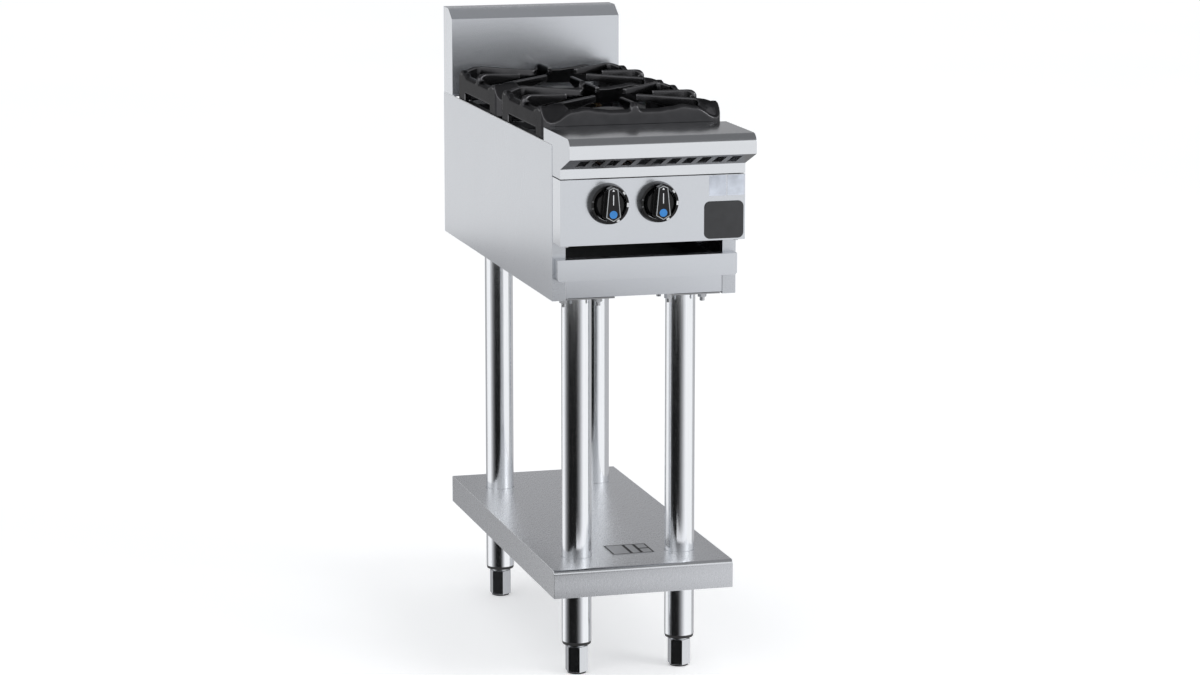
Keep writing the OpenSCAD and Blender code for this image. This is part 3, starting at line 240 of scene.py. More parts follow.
def moulded(name, colour, roughness, grain_mm=0.8, depth=0.12, coat=0.0, specular=0.5):
    """Moulded plastic or paint with a fine grain."""
    material, tree, shader = new_material(name)
    shader.inputs["Specular IOR Level"].default_value = specular
    cell = 1.0 / (grain_mm * MM)
    grain = noise(tree, (cell,) * 3, detail=3.0, roughness=0.5)
    patches = noise(tree, (cell / PLASTIC_PATCH,) * 3, detail=2.0, roughness=0.5)
    dark, light = (scaled(colour, tone) for tone in PLASTIC_TONES)
    vary_colour(tree, shader, patches, dark, light)
    vary_sheen(tree, shader, grain, roughness, PLASTIC_SWING)
    raise_grain(tree, shader, grain, depth, PLASTIC_GRAIN_H)
    shader.inputs["Coat Weight"].default_value = coat
    shader.inputs["Coat Roughness"].default_value = COAT_ROUGHNESS
    return material


# Materials

STEEL = (0.60, 0.622, 0.66)
STEEL_TOP = (0.62, 0.635, 0.66)
STEEL_NOSE = (0.69, 0.71, 0.74)
STEEL_PLAIN = (0.50, 0.51, 0.53)
BLACK = (0.004, 0.004, 0.0045)
# Noise scales of the grain: its scratches run level, from front to back, or in no direction
LEVEL_GRAIN = (160.0, 160.0, 1500.0)
DEPTH_GRAIN = (1500.0, 160.0, 160.0)
DULL_GRAIN = (300.0, 300.0, 300.0)
MATERIALS = {
    "panel": brushed_steel("steel_panel", STEEL, 0.20, LEVEL_GRAIN, contrast=0.03, depth=0.012),
    # Painted shade: the panel steel darkened, and made rougher, for faces turned to the side.
    "side": brushed_steel("steel_side_painted_shade", scaled(STEEL, 0.92), 0.30, LEVEL_GRAIN, contrast=0.03, depth=0.015),
    "splash": brushed_steel("steel_splash", STEEL, 0.22, LEVEL_GRAIN, contrast=0.02, depth=0.001,
                            metallic=0.84),
    # Painted highlight: near-white steel for bright edge lines on the side panels' hems and the shelf's side
    # edges.
    "hem": brushed_steel("steel_hem", (0.95, 0.96, 0.98), 0.3, LEVEL_GRAIN, contrast=0.02, depth=0.005,
                         metallic=0.2),
    "top": brushed_steel("steel_top", STEEL_NOSE, 0.17, DEPTH_GRAIN, contrast=0.02, depth=0.004),
    # Painted shade: the nose steel darkened for the faces turned up.
    "deck": brushed_steel("steel_deck_painted_shade", scaled(STEEL_NOSE, 0.68), 0.17, DEPTH_GRAIN, contrast=0.02,
                          depth=0.004),
    "shelf": brushed_steel("steel_shelf", STEEL_TOP, 0.28, DEPTH_GRAIN, contrast=0.01, depth=0.0003),
    "tube": polished("steel_tube", (0.86, 0.88, 0.91), 0.15, grain=(700.0, 700.0, 12.0)),
    "plain": brushed_steel("steel_plain", (0.34, 0.345, 0.36), 0.4, DULL_GRAIN, contrast=0.08),
    # Painted shade: the steel darkened for the hob front's underside.
    "under": brushed_steel("steel_under_painted_shade", (0.15, 0.153, 0.16), 0.3, LEVEL_GRAIN, contrast=0.03, depth=0.01),
    # Painted shade: steel darkened nearly to black for parts and cut edges inside the body.
    "inner": brushed_steel("steel_inner_painted_shade", (0.060, 0.062, 0.066), 0.5, DULL_GRAIN, contrast=0.1),
    "bolt": polished("steel_bolt", STEEL_PLAIN, 0.25, grain=(500.0, 500.0, 500.0)),
    "foot": polished("steel_foot", (0.66, 0.68, 0.71), 0.16, grain=(300.0, 300.0, 900.0)),
    "trivet": cast_iron("iron_trivet", (0.056, 0.056, 0.059), (0.070, 0.070, 0.074), 0.20, grain_mm=1.6,
                        depth=0.12, metallic=1.0, edge=0.38),
    "burner": cast_iron("iron_burner", (0.008, 0.008, 0.008), (0.02, 0.019, 0.018), 0.6, grain_mm=1.8,
                        depth=0.6, specular=0.2),
    "cap": cast_iron("iron_cap", (0.010, 0.010, 0.011), (0.02, 0.02, 0.021), 0.42, grain_mm=1.2,
                     depth=0.25, specular=0.2),
    "brass": polished("brass_tap", (0.20, 0.155, 0.08), 0.3, grain=(400.0, 400.0, 400.0)),
    "pipe": polished("pipe_plated", (0.62, 0.63, 0.65), 0.22, grain=(300.0, 40.0, 300.0)),
    "copper": polished("copper_tube", (0.14, 0.085, 0.06), 0.35, grain=(200.0, 200.0, 200.0)),
    "knob": moulded("knob_black", BLACK, 0.16, coat=0.05, specular=0.25),
    "bezel": moulded("bezel_black", BLACK, 0.2, coat=0.05, specular=0.25),
    "nylon": moulded("nylon_black", (0.012, 0.012, 0.013), 0.42, grain_mm=1.2, depth=0.2),
    "mark": moulded("mark_white", (0.80, 0.81, 0.82), 0.4),
    "outline": moulded("mark_grey", (0.42, 0.43, 0.44), 0.35),
    "faint": moulded("mark_faint", (0.08, 0.08, 0.085), 0.35),
    "blue": moulded("dot_blue", (0.015, 0.20, 0.56), 0.3, coat=0.3),
    "badge": moulded("badge_dark", (0.022, 0.023, 0.026), 0.35, grain_mm=0.6, depth=0.1, coat=0.1),
    "blank": moulded("label_blank", (0.66, 0.70, 0.78), 0.35, grain_mm=0.6, depth=0.05),
    "rating": brushed_steel("plate_rating", STEEL_PLAIN, 0.4, DULL_GRAIN, contrast=0.03),
    "ink": moulded("plate_ink", (0.012, 0.012, 0.014), 0.5, grain_mm=0.6, depth=0.05, specular=0.2),
}
# Painted highlight: the trivets' outward edges are painted lighter.
paint_edge_highlight(MATERIALS["trivet"], (0.24, 0.24, 0.25), start=0.508, full=0.57)


def each(stem, places):
    """Names of a node that repeats at these places."""
    return [stem + "_" + place for place in places]


NODE_FINISH = {
    # Painted shade: the side panels get the darker side steel.
    "side": each("side_panel", SIDES),
    "panel": ["control_panel", "lower_front_rail", "tray_front"],
    "splash": ["splashback"],
    "top": ["hob_front"],
    "shelf": ["undershelf"],
    "tube": each("leg_tube", CORNERS) + ["shelf_collars"],
    "foot": each("foot", CORNERS),
    "nylon": ["foot_inserts"],
    "plain": ["back_panel", "splashback_back", "leg_plates"] + each("base_channel", SIDES),
    # Painted shade: the parts inside the body get the near-black inner steel.
    "inner": ["centre_bar", "drip_tray"] + each("trivet_ledge", SIDES) + each("burner_rail", ENDS)
             + each("tray_runner", SIDES),
    "bolt": ["leg_bolts", "panel_screws"] + each("tap_collar", SIDES) + each("tap_spindle", SIDES),
    "trivet": each("trivet", ENDS),
    "burner": each("burner", ENDS),
    "cap": each("burner_cap", ENDS),
    "brass": ["pilot_burners"] + each("gas_tap", SIDES) + each("injector", ENDS),
    "pipe": ["gas_pipe", "gas_manifold"],
    "copper": ["pilot_tubes", "thermocouples"] + each("gas_tube", ENDS),
    "knob": each("knob", SIDES),
    "bezel": each("knob_bezel", SIDES),
}
FINISH_OF = {node: key for key, nodes in NODE_FINISH.items() for node in nodes}


def dress(obj, key):
    obj.data.materials.clear()
    obj.data.materials.append(MATERIALS[key])


def paint_faces(obj, key, picked):
    """Gives the faces that picked chooses another finish."""
    slot = len(obj.data.materials)
    obj.data.materials.append(MATERIALS[key])
    for face in obj.data.polygons:
        if picked(face):
            face.material_index = slot


# Mesh helpers

WELD_REACH = 0.002 * MM
FLAT_ANGLE = math.radians(0.6)
SHARP_ANGLE = math.radians(32)
SMOOTH_ANGLE = math.radians(35)
ROLL_SEGMENTS = 6


def from_bmesh(name, bm, key, smooth_angle=SMOOTH_ANGLE):
    bmesh.ops.recalc_face_normals(bm, faces=bm.faces)
    for edge in bm.edges:
        edge.smooth = len(edge.link_faces) == 2 and edge.calc_face_angle(0) < smooth_angle
    for face in bm.faces:
        face.smooth = True
    mesh = bpy.data.meshes.new(name)
    bm.to_mesh(mesh)
    bm.free()
    obj = new_object(name, mesh)
    dress(obj, key)
    return obj


def apply_modifiers(obj):
    depsgraph = bpy.context.evaluated_depsgraph_get()
    mesh = bpy.data.meshes.new_from_object(obj.evaluated_get(depsgraph))
    obj.modifiers.clear()
    obj.data = mesh


def clean_copy(node):
    """The node's mesh with its flat regions joined back into single faces."""
    bm = bmesh.new()
    bm.from_mesh(NODES[node].data)
    bmesh.ops.remove_doubles(bm, verts=bm.verts, dist=WELD_REACH)
    bmesh.ops.dissolve_limit(bm, angle_limit=FLAT_ANGLE, verts=bm.verts, edges=bm.edges)
    return bm


def softened(node, width, segments=2, rolled=None, roll_r=0.0, shaped=None):
    """Stand-in for a node with its sharp edges rounded; edges that rolled picks get a wide round."""
    bm = clean_copy(node)
    if shaped:
        shaped(bm)
    if rolled:
        bmesh.ops.bevel(bm, geom=[edge for edge in bm.edges if rolled(edge)], offset=roll_r,
                        segments=ROLL_SEGMENTS, profile=0.5, affect="EDGES", clamp_overlap=True)
    obj = from_bmesh(node + "_edged", bm, FINISH_OF[node], SHARP_ANGLE)
    bevel = obj.modifiers.new("bevel", "BEVEL")
    bevel.width = width
    bevel.segments = segments
    bevel.limit_method = "ANGLE"
    bevel.angle_limit = SHARP_ANGLE
    bevel.use_clamp_overlap = True
    bevel.harden_normals = True
    apply_modifiers(obj)
    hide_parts(node)
    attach(obj, body_with(node))
    return obj


def plate_points(width, height, radius, steps=6):
    """Outline of a rounded rectangle round the origin, anticlockwise."""
    points = []
    for i, (sx, sy) in enumerate(((1, -1), (1, 1), (-1, 1), (-1, -1))):
        cx, cy = sx * (width / 2 - radius), sy * (height / 2 - radius)
        for k in range(steps + 1):
            angle = math.radians(-90 + 90 * i + 90 * k / steps)
            points.append((cx + radius * math.cos(angle), cy + radius * math.sin(angle)))
    return points


def inset(points, distance):
    """A convex outline with every side moved inwards."""
    made = []
    n = len(points)
    for i in range(n):
        before, here, after = (Vector(points[(i + k) % n]) for k in (-1, 0, 1))
        a, b = (here - before).normalized(), (after - here).normalized()
        na, nb = Vector((-a.y, a.x)), Vector((-b.y, b.x))
        made.append(tuple(here + distance * (na + nb) / (1 + na.dot(nb))))
    return made


def prism(bm, points, place, depth, broken=0.0):
    """A flat plate, its top edge broken by that much; place maps outline (u, v, height) to space."""
    rings = [(0.0, 0.0), (0.0, depth - broken), (broken, depth)] if broken else [(0.0, 0.0), (0.0, depth)]
    loops = []
    for step, height in rings:
        outline = inset(points, step) if step else points
        loops.append([bm.verts.new(place(u, v, height)) for u, v in outline])
    n = len(points)
    for low, high in zip(loops, loops[1:]):
        for i in range(n):
            bm.faces.new((low[i], low[(i + 1) % n], high[(i + 1) % n], high[i]))
    bm.faces.new(loops[-1])
    bm.faces.new(list(reversed(loops[0])))


def frame_plate(bm, outer, inner, place, depth):
    """A flat frame between two outlines with the same number of points."""
    n = len(outer)
    rows = [[bm.verts.new(place(u, v, h)) for u, v in outline]
            for outline, h in ((outer, 0.0), (outer, depth), (inner, depth), (inner, 0.0))]
    for a, b in zip(rows, rows[1:] + rows[:1]):
        for i in range(n):
            bm.faces.new((a[i], a[(i + 1) % n], b[(i + 1) % n], b[i]))


# Cast trivets

TRIVET_VOXEL = 1.15 * MM
TRIVET_SMOOTHING = 2
CORNER_R = 24 * MM
SIDE_SHOULDER = 12 * MM
FRONT_SHOULDER = 9 * MM


def shoulder_limit(x, y, half_x, half_y):
    """How far below the blades' tops the casting has to stay near its outer faces."""
    dx = max(abs(x) - half_x + CORNER_R, 0.0)
    dy = max(abs(y) - half_y + CORNER_R, 0.0)
    reach = CORNER_R - math.hypot(dx, dy)
    turn = math.atan2(dy, dx) / (math.pi / 2)
    radius = SIDE_SHOULDER + (FRONT_SHOULDER - SIDE_SHOULDER) * turn
    depth = radius - max(reach, 0.0)
    if depth <= 0.0:
        return 0.0
    return radius - math.sqrt(max(radius ** 2 - depth ** 2, 0.0))


def round_shoulders(obj, node):
    low, high = box(node)
    centre, half = (low + high) / 2, (high - low) / 2
    for vert in obj.data.vertices:
        drop = shoulder_limit(vert.co.x - centre.x, vert.co.y - centre.y, half.x, half.y)
        vert.co.z = min(vert.co.z, high.z - drop)


def cast_copy(node):
    """The trivet as one casting: its inner corners, edges and outer shoulders are rounded."""
    obj = from_bmesh(node + "_cast", clean_copy(node), "trivet")
    remesh = obj.modifiers.new("remesh", "REMESH")
    remesh.mode = "VOXEL"
    remesh.voxel_size = TRIVET_VOXEL
    remesh.use_smooth_shade = True
    smooth = obj.modifiers.new("smooth", "SMOOTH")
    smooth.factor = 0.5
    smooth.iterations = TRIVET_SMOOTHING
    apply_modifiers(obj)
    round_shoulders(obj, node)
    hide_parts(node)
    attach(obj, body_with(node))


# Marks on knobs and bezels

# The pointed grip, with the sizes of the part's source
GRIP_L = 55 * MM
GRIP_W = 25 * MM
GRIP_TOP_W = 16.5 * MM
GRIP_SHIFT = 3 * MM
GRIP_HIGH_SHARE = 0.435
GRIP_LOW_SHARE = 0.37
# The line round the grip
OUTLINE_IN = 0.9 * MM
OUTLINE_W = 1.1 * MM
MARK_LIFT = 0.2 * MM
# The dot, the line and the arrow, from the grip's lower or upper end
DOT_R = 6.2 * MM
DOT_RISE = 11.9 * MM
DOT_STEPS = 28
LINE_W = 1.3 * MM
LINE_L = 16 * MM
LINE_RISE = 34.5 * MM
ARROW_DROP = 3.6 * MM
ARROW_HALF = 1.9 * MM
ARROW_L = 3.4 * MM
# Inner and outer radius of the marks on the bezel
MARK_IN = 26.8 * MM
MARK_OUT = 29.8 * MM
MARK_STEPS = 6
# Middle angle and span of each mark on the bezel, anticlockwise from the right
BEZEL_MARKS = ((38, 10.0), (-2, 13.0), (-63, 10.0))
FAINT_MARKS = ((168, 5.0), (190, 5.0))


def on_front(centre_x, front_y, centre_z):
    """Maps an outline to the part's front: u to the right, v up, height towards the operator."""
    def place(u, v, height):
        return Vector((centre_x + u, front_y - height, centre_z + v))
    return place


def grip_outline():
    high = GRIP_SHIFT + GRIP_HIGH_SHARE * GRIP_L
    low = GRIP_SHIFT - GRIP_LOW_SHARE * GRIP_L
    return [(-GRIP_W / 2, low), (0.0, GRIP_SHIFT - GRIP_L / 2), (GRIP_W / 2, low),
            (GRIP_TOP_W / 2, high), (0.0, GRIP_SHIFT + GRIP_L / 2), (-GRIP_TOP_W / 2, high)]


def circle(radius, steps):
    return [(radius * math.cos(2 * math.pi * i / steps), radius * math.sin(2 * math.pi * i / steps))
            for i in range(steps)]


def knob_marks(side):
    body = body_with("knob_" + side)
    low, _ = box("knob_" + side)
    spindle_low, spindle_high = box("tap_spindle_" + side)
    axis = (spindle_low + spindle_high) / 2
    place = on_front(axis.x, low.y, axis.z)
    bottom = GRIP_SHIFT - GRIP_L / 2
    top = GRIP_SHIFT + GRIP_L / 2

    ring = bmesh.new()
    outer = inset(grip_outline(), OUTLINE_IN)
    frame_plate(ring, outer, inset(outer, OUTLINE_W), place, MARK_LIFT)
    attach(from_bmesh("knob_outline_" + side, ring, "outline"), body)

    dot = bmesh.new()
    disc = [(u, v + bottom + DOT_RISE) for u, v in circle(DOT_R, DOT_STEPS)]
    prism(dot, disc, place, MARK_LIFT, MARK_LIFT / 2)
    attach(from_bmesh("knob_dot_" + side, dot, "blue"), body)

    marks = bmesh.new()
    tip = top - ARROW_DROP
    prism(marks, [(-ARROW_HALF, tip - ARROW_L), (ARROW_HALF, tip - ARROW_L), (0.0, tip)], place, MARK_LIFT)
    line = [(u, v + bottom + LINE_RISE) for u, v in plate_points(LINE_W, LINE_L, LINE_W / 3, steps=2)]
    prism(marks, line, place, MARK_LIFT)
    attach(from_bmesh("knob_marks_" + side, marks, "mark"), body)


def bezel_marks(side):
    low, high = box("knob_bezel_" + side)
    place = on_front((low.x + high.x) / 2, low.y, (low.z + high.z) / 2)
    for key, marks in (("mark", BEZEL_MARKS), ("faint", FAINT_MARKS)):
        bm = bmesh.new()
        for centre, span in marks:
            arc = [math.radians(centre - span / 2 + span * k / MARK_STEPS) for k in range(MARK_STEPS + 1)]
            outline = [(MARK_OUT * math.cos(a), MARK_OUT * math.sin(a)) for a in arc]
            outline += [(MARK_IN * math.cos(a), MARK_IN * math.sin(a)) for a in reversed(arc)]
            prism(bm, outline, place, MARK_LIFT)
        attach(from_bmesh("bezel_%s_%s" % (key, side), bm, key), body_with("knob_bezel_" + side))


# Blank plates where the photo has badge and labels

BADGE_X, BADGE_Z = 114.6 * MM, 754.5 * MM
BADGE_W, BADGE_H, BADGE_T = 64 * MM, 59 * MM, 1.6 * MM
BADGE_CORNER = 9 * MM
BADGE_BREAK = 0.6 * MM
LABEL_X = {"left": 104.5 * MM, "right": 134.0 * MM}
LABEL_Z = 808.5 * MM
LABEL_W, LABEL_H, LABEL_T = 28 * MM, 32 * MM, 0.2 * MM
LABEL_CORNER = 1.5 * MM
LABEL_BREAK = 0.05 * MM
RATING_X, RATING_Y = 6 * MM, -212 * MM
RATING_W, RATING_D, RATING_T = 72 * MM, 64 * MM, 0.5 * MM
RATING_CORNER = 3 * MM
RATING_BREAK = 0.15 * MM
# The lines round the rating plate's cells
RATING_LINE = 2.4 * MM
RATING_LINE_T = 0.05 * MM
CELL_CORNER = 1 * MM
# Cells of the blank rating plate in shares of its width and depth: left, right, front, back
RATING_CELLS = ((0.02, 0.46, 0.04, 0.96), (0.46, 0.70, 0.04, 0.96), (0.70, 0.98, 0.5, 0.96),
                (0.70, 0.98, 0.04, 0.5))


def front_plate(name, key, centre_x, centre_z, outline, depth, broken):
    bm = bmesh.new()
    low, _ = box("control_panel")
    prism(bm, outline, on_front(centre_x, low.y, centre_z), depth, broken)
    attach(from_bmesh(name, bm, key), body_with("control_panel"))


def blank_fronts():
    badge = plate_points(BADGE_W, BADGE_H, BADGE_CORNER)
    front_plate("badge_blank", "badge", BADGE_X, BADGE_Z, badge, BADGE_T, BADGE_BREAK)
    label = plate_points(LABEL_W, LABEL_H, LABEL_CORNER)
    for side in SIDES:
        front_plate("label_blank_" + side, "blank", LABEL_X[side], LABEL_Z, label, LABEL_T, LABEL_BREAK)


def blank_rating():
    """The plate on the undershelf, with the empty cells of its form."""
    _, shelf_high = box("undershelf")

    def on_shelf(u, v, height):
        return Vector((u + RATING_X, v + RATING_Y, shelf_high.z + height))

    def on_plate(u, v, height):
        return on_shelf(u, v, height + RATING_T)
    plate = bmesh.new()
    prism(plate, plate_points(RATING_W, RATING_D, RATING_CORNER), on_shelf, RATING_T, RATING_BREAK)
    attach(from_bmesh("rating_blank", plate, "rating"), body_with("undershelf"))
    cells = bmesh.new()
    for left, right, front, back in RATING_CELLS:
        centre_u, centre_v = (left + right - 1) * RATING_W / 2, (front + back - 1) * RATING_D / 2
        cell = plate_points((right - left) * RATING_W, (back - front) * RATING_D, CELL_CORNER, steps=2)
        outer = [(u + centre_u, v + centre_v) for u, v in cell]
        frame_plate(cells, outer, inset(outer, RATING_LINE), on_plate, RATING_LINE_T)
    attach(from_bmesh("rating_cells", cells, "ink"), body_with("undershelf"))


# Sheet parts, knobs and feet with their edges broken

SHEET_EDGE = 0.4 * MM
SHELF_EDGE = 1.2 * MM
BEZEL_EDGE = 0.6 * MM
KNOB_EDGE = 0.8 * MM
FOOT_EDGE = 0.5 * MM
PLAIN_SHEETS = ("control_panel", "tray_front", "lower_front_rail")
NEAR = 0.1 * MM
# Below this height a foot is its black pad
FOOT_PAD = 3 * MM
# The round between deck and nose: its radius and wall in the solids, and what the photo adds
NOSE_R = 10 * MM
NOSE_WALL = 3 * MM
NOSE_GROWTH = 7 * MM
# Air slots under the nose: their heights over the panel, half their row, their place behind the nose
SLOT_LOW = 8 * MM
SLOT_HIGH = 45 * MM
SLOTS_HALF = 140 * MM
SLOTS_BACK = 5 * MM
# Faces below this area are cut edges of the slots; cheeks are above the second one
SLOT_FACE = 60 * MM * MM
CHEEK_FACE = 200 * MM * MM
# Shares of a face's normal along an axis, from hardly turned that way to wholly
LEAN = 0.1
SLANT = 0.2
TILT = 0.3
STEEP = 0.7
NEARLY = 0.85
WHOLLY = 0.95
HEM_ROLL = 1.6 * MM
# The dark sheet inside the back panel, a painted shade
SHADE_H = 75 * MM
SHADE_T = 0.6 * MM
SHADE_CORNER = 1 * MM
SHADE_GAP = 0.3 * MM
SHADE_IN = 3 * MM


def widen_nose(bm, low_y, top_z):
    """Draws the round between deck and nose out to a wider one."""
    for vert in bm.verts:
        back, up = vert.co.y - (low_y + NOSE_R), vert.co.z - (top_z - NOSE_R)
        reach = math.hypot(back, up)
        if back < NEAR and up > -NEAR and NOSE_R - NOSE_WALL < reach < NOSE_R + NEAR:
            grown = (reach + NOSE_GROWTH) / reach
            vert.co.y = low_y + NOSE_R + NOSE_GROWTH + back * grown
            vert.co.z = top_z - NOSE_R - NOSE_GROWTH + up * grown


def hob_front_looks():
    """A wider round at the nose. Deck, cheeks, underside and the slots' cut edges get darker steel finishes
    as painted shade.
    """
    hob_low, hob_high = box("hob_front")
    _, panel_high = box("control_panel")
    hob = softened("hob_front", SHEET_EDGE, shaped=lambda bm: widen_nose(bm, hob_low.y, hob_high.z))

    def slot_end(face):
        centre = face.center
        low = panel_high.z + SLOT_LOW < centre.z < panel_high.z + SLOT_HIGH
        inside = hob_low.y + SLOTS_BACK < centre.y and abs(centre.x) < SLOTS_HALF
        return low and inside and face.area < SLOT_FACE and abs(face.normal.z) < STEEP

    def underside(face):
        return face.normal.z < -NEARLY and face.normal.y < -SLANT
    # Painted shade: the slots' cut edges get the near-black inner steel.
    paint_faces(hob, "inner", slot_end)
    # Painted shade: the underside gets the dark under steel.
    paint_faces(hob, "under", underside)
    # Painted shade: the faces turned up get the darker deck steel.
    paint_faces(hob, "deck", lambda face: face.normal.z > TILT)
    # Painted shade: the cheeks turned to the side get the darker side steel.
    paint_faces(hob, "side", lambda face: abs(face.normal.x) > WHOLLY and face.area > CHEEK_FACE)


def side_panel_looks(side):
    """The hem along a side panel's top edge is rolled over, and painted near-white as a painted highlight.
    """
    node = "side_panel_" + side
    low, high = box(node)
    outer_x = max(abs(low.x), abs(high.x))

    def outer_top(edge):
        return all(outer_x - abs(vert.co.x) < NEAR and high.z - vert.co.z < NEAR for vert in edge.verts)

    def hem(face):
        return face.normal.z > SLANT and face.center.z > high.z - 2 * HEM_ROLL
    # Painted highlight: the rolled hem's upward faces get the near-white steel.
    paint_faces(softened(node, SHEET_EDGE, rolled=outer_top, roll_r=HEM_ROLL), "hem", hem)


def shelf_looks():
    """The undershelf's front fold gets the smoother, lighter steel of the nose, and its side edges are
    painted near-white as a painted highlight.
    """
    shelf = softened("undershelf", SHELF_EDGE)
    paint_faces(shelf, "top", lambda face: face.normal.y < -LEAN and face.normal.z > LEAN)
    # Painted highlight: the shelf's side edges get the near-white steel.
    paint_faces(shelf, "hem", lambda face: abs(face.normal.x) > TILT and face.normal.z > TILT)


def foot_looks(node):
    paint_faces(softened(node, FOOT_EDGE), "nylon", lambda face: face.center.z < FOOT_PAD)


def rear_shade():
    """A dark sheet inside the back panel, as painted shade: no daylight shows through its slots and the gap
    over it.
    """
    back_low, _ = box("back_panel")
    side_low, _ = box("side_panel_left")
    splash_low, _ = box("splashback")
    foot_z, top_z = splash_low.z - SHADE_H, splash_low.z - SHADE_GAP
    half = -side_low.x - SHADE_IN

    def in_body(u, v, height):
        return Vector((u, back_low.y - SHADE_GAP - height, (foot_z + top_z) / 2 + v))
    bm = bmesh.new()
    prism(bm, plate_points(2 * half, top_z - foot_z, SHADE_CORNER, steps=2), in_body, SHADE_T)
    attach(from_bmesh("rear_shade", bm, "inner"), body_with("back_panel"))


def looks():
    for node, obj in NODES.items():
        dress(obj, FINISH_OF[node])
    for node in PLAIN_SHEETS:
        softened(node, SHEET_EDGE)
    for node in NODE_FINISH["bezel"]:
        softened(node, BEZEL_EDGE)
    for side in SIDES:
        side_panel_looks(side)
    rear_shade()
    hob_front_looks()
    softened("splashback", SHEET_EDGE)
    shelf_looks()
    for node in NODE_FINISH["foot"]:
        foot_looks(node)
    for node in NODE_FINISH["trivet"]:
        cast_copy(node)
    for side in SIDES:
        softened("knob_" + side, KNOB_EDGE, segments=3)
        knob_marks(side)
        bezel_marks(side)
    blank_fronts()
    blank_rating()


# Studio

# The camera that the photo's perspective was fitted with
CAMERA_PLACE = (-1.5407, -5.6664, 1.5976)
CAMERA_TILT = math.radians(90 - 10.526)
CAMERA_TURN = math.radians(-15.358)
CAMERA_LENS = 107.69
# The surroundings as a light, and the floor
WORLD_COLOUR = (0.97, 0.985, 1.0)
WORLD_LEVEL = 0.75
WHITE = (1, 1, 1, 1)
FLOOR_HALF = 14.0
FLOOR_GLOW = 0.3
FLOOR_CLOUDS = (0.7, 0.7, 0.7)
FLOOR_DARK, FLOOR_LIGHT = (0.93, 0.93, 0.935), (0.96, 0.96, 0.965)
CARD_STEPS = 24
# The cards' blue is this much over their grey
CARD_BLUE = 1.02
# What the legs mirror, from behind on the left round the front to the right: start, end, grey
LEG_CARDS = ((-185, -142, 0.43), (-104, -93, 0.6), (-93, -83, 0.33), (-83, -73, 0.15), (-73, -63, 0.06),
             (-63, -15, 0.01), (-15, -8, 0.05), (-8, 0, 0.15), (0, 8, 0.3), (8, 16, 0.55), (16, 24, 0.8),
             (84, 175, 0.5))


def camera():
    data = bpy.data.cameras.new("camera")
    data.lens = CAMERA_LENS
    data.sensor_width = 36.0
    data.clip_end = 200.0
    obj = new_object("camera", data)
    obj.location = CAMERA_PLACE
    obj.rotation_euler = (CAMERA_TILT, 0.0, CAMERA_TURN)
    bpy.context.scene.camera = obj


def area_lamp(name, place, target, size, energy):
    data = bpy.data.lights.new(name, "AREA")
    data.shape = "RECTANGLE"
    data.size, data.size_y = size
    data.energy = energy
    obj = new_object(name, data)
    obj.location = place
    obj.rotation_euler = (Vector(target) - Vector(place)).to_track_quat("-Z", "Y").to_euler()


def world():
    """White where it is seen or mirrored, and dimmer as a light."""
    made = bpy.data.worlds.new("studio")
    bpy.context.scene.world = made
    made.use_nodes = True
    tree = made.node_tree
    light = tree.nodes["Background"]
    light.inputs["Color"].default_value = (*WORLD_COLOUR, 1)
    light.inputs["Strength"].default_value = WORLD_LEVEL
    white = tree.nodes.new("ShaderNodeBackground")
    white.inputs["Color"].default_value = WHITE
    path = tree.nodes.new("ShaderNodeLightPath").outputs
    mirrored = math_node(tree, "MAXIMUM", path["Is Glossy Ray"], path["Is Transmission Ray"])
    seen = math_node(tree, "MAXIMUM", path["Is Camera Ray"], mirrored)
    mix = tree.nodes.new("ShaderNodeMixShader")
    link(tree, seen, mix.inputs["Fac"])
    link(tree, light.outputs[0], mix.inputs[1])
    link(tree, white.outputs[0], mix.inputs[2])
    link(tree, mix.outputs[0], tree.nodes["World Output"].inputs["Surface"])


def square(half, height):
    return [(-half, -half, height), (half, -half, height), (half, half, height), (-half, half, height)]


def flat_object(name, verts, faces, material):
    mesh = bpy.data.meshes.new(name)
    mesh.from_pydata(verts, [], faces)
    mesh.materials.append(material)
    return new_object(name, mesh)


def floor():
    """A white floor that glows a little where it is seen, and still takes the part's shadow."""
    material, tree, shader = new_material("floor_white")
    shader.inputs["Roughness"].default_value = 0.9
    shader.inputs["Specular IOR Level"].default_value = 0.1
    clouds = noise(tree, FLOOR_CLOUDS, detail=3.0, roughness=0.55)
    vary_colour(tree, shader, clouds, FLOOR_DARK, FLOOR_LIGHT)
    path = tree.nodes.new("ShaderNodeLightPath").outputs
    glow = math_node(tree, "MAXIMUM", path["Is Camera Ray"], path["Is Glossy Ray"])
    shader.inputs["Emission Color"].default_value = WHITE
    link(tree, math_node(tree, "MULTIPLY", glow, FLOOR_GLOW), shader.inputs["Emission Strength"])
    obj = flat_object("floor", square(FLOOR_HALF, 0), [(0, 1, 2, 3)], material)
    obj.visible_glossy = False


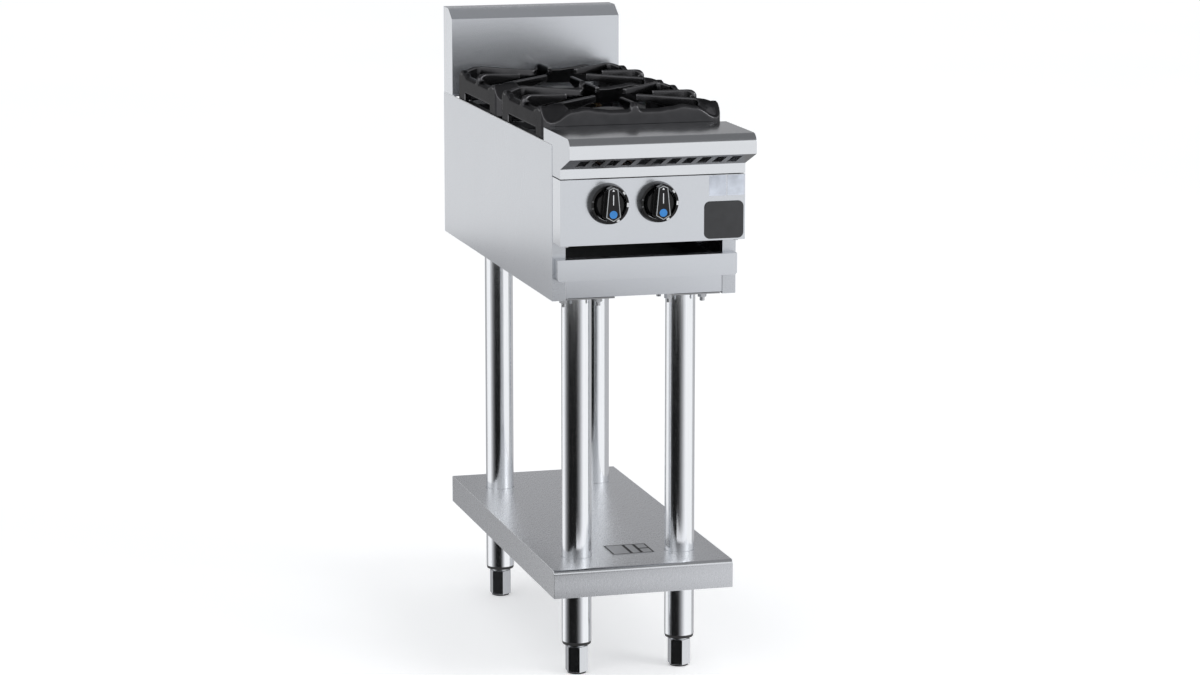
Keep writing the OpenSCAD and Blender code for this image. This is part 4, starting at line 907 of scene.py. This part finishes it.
def grey_card(name, verts, faces, grey):
    """A studio card that only reflections see, and only from its front."""
    material = bpy.data.materials.new(name)
    material.use_nodes = True
    tree = material.node_tree
    tree.nodes.clear()
    glow = tree.nodes.new("ShaderNodeEmission")
    glow.inputs["Color"].default_value = (grey, grey, grey * CARD_BLUE, 1)
    clear = tree.nodes.new("ShaderNodeBsdfTransparent")
    side = tree.nodes.new("ShaderNodeNewGeometry")
    mix = tree.nodes.new("ShaderNodeMixShader")
    out = tree.nodes.new("ShaderNodeOutputMaterial")
    link(tree, side.outputs["Backfacing"], mix.inputs["Fac"])
    link(tree, glow.outputs[0], mix.inputs[1])
    link(tree, clear.outputs[0], mix.inputs[2])
    link(tree, mix.outputs[0], out.inputs["Surface"])
    obj = flat_object(name, verts, faces, material)
    obj.visible_camera = False
    obj.visible_diffuse = False
    obj.visible_shadow = False
    obj.visible_transmission = False


def round_card(name, radius, from_deg, to_deg, low, high, grey):
    """A card on an arc round the part, seen from inside. Degrees run from -Y to +X."""
    verts, faces = [], []
    for i in range(CARD_STEPS + 1):
        angle = math.radians(from_deg + (to_deg - from_deg) * i / CARD_STEPS)
        x, y = radius * math.sin(angle), -radius * math.cos(angle)
        verts += [(x, y, low), (x, y, high)]
    for i in range(CARD_STEPS):
        a = 2 * i
        faces.append((a, a + 1, a + 3, a + 2))
    grey_card(name, verts, faces, grey)


def flat_card(name, start, end, low, high, grey):
    """An upright card over the line from start to end; its front is on the line's left side."""
    verts = [(*start, low), (*end, low), (*end, high), (*start, high)]
    grey_card(name, verts, [(3, 2, 1, 0)], grey)


def level_card(name, half, height, grey):
    """A level card over the part, seen from below."""
    grey_card(name, square(half, height), [(3, 2, 1, 0)], grey)


def studio():
    world()
    floor()
    camera()
    for start, end, grey in LEG_CARDS:
        name = "card_legs_%d" % (start + 180)
        round_card(name, radius=1.15, from_deg=start, to_deg=end, low=-0.8, high=0.50, grey=grey)
    flat_card("card_shelf", start=(-0.2, -0.62), end=(0.45, -0.62), low=0.085, high=0.136, grey=1.0)
    level_card("card_over", half=2.6, height=2.6, grey=0.30)
    round_card("card_back", radius=3.0, from_deg=115, to_deg=215, low=0.9, high=2.6, grey=0.42)
    area_lamp("lamp_key", place=(2.6, -2.6, 2.7), target=(0, 0, 0.7), size=(1.6, 1.6), energy=34)
    area_lamp("lamp_fill", place=(-2.8, -2.2, 2.2), target=(0, 0, 0.6), size=(2.0, 2.0), energy=10)


looks()
studio()

view = bpy.context.scene.view_settings
view.view_transform = "Standard"
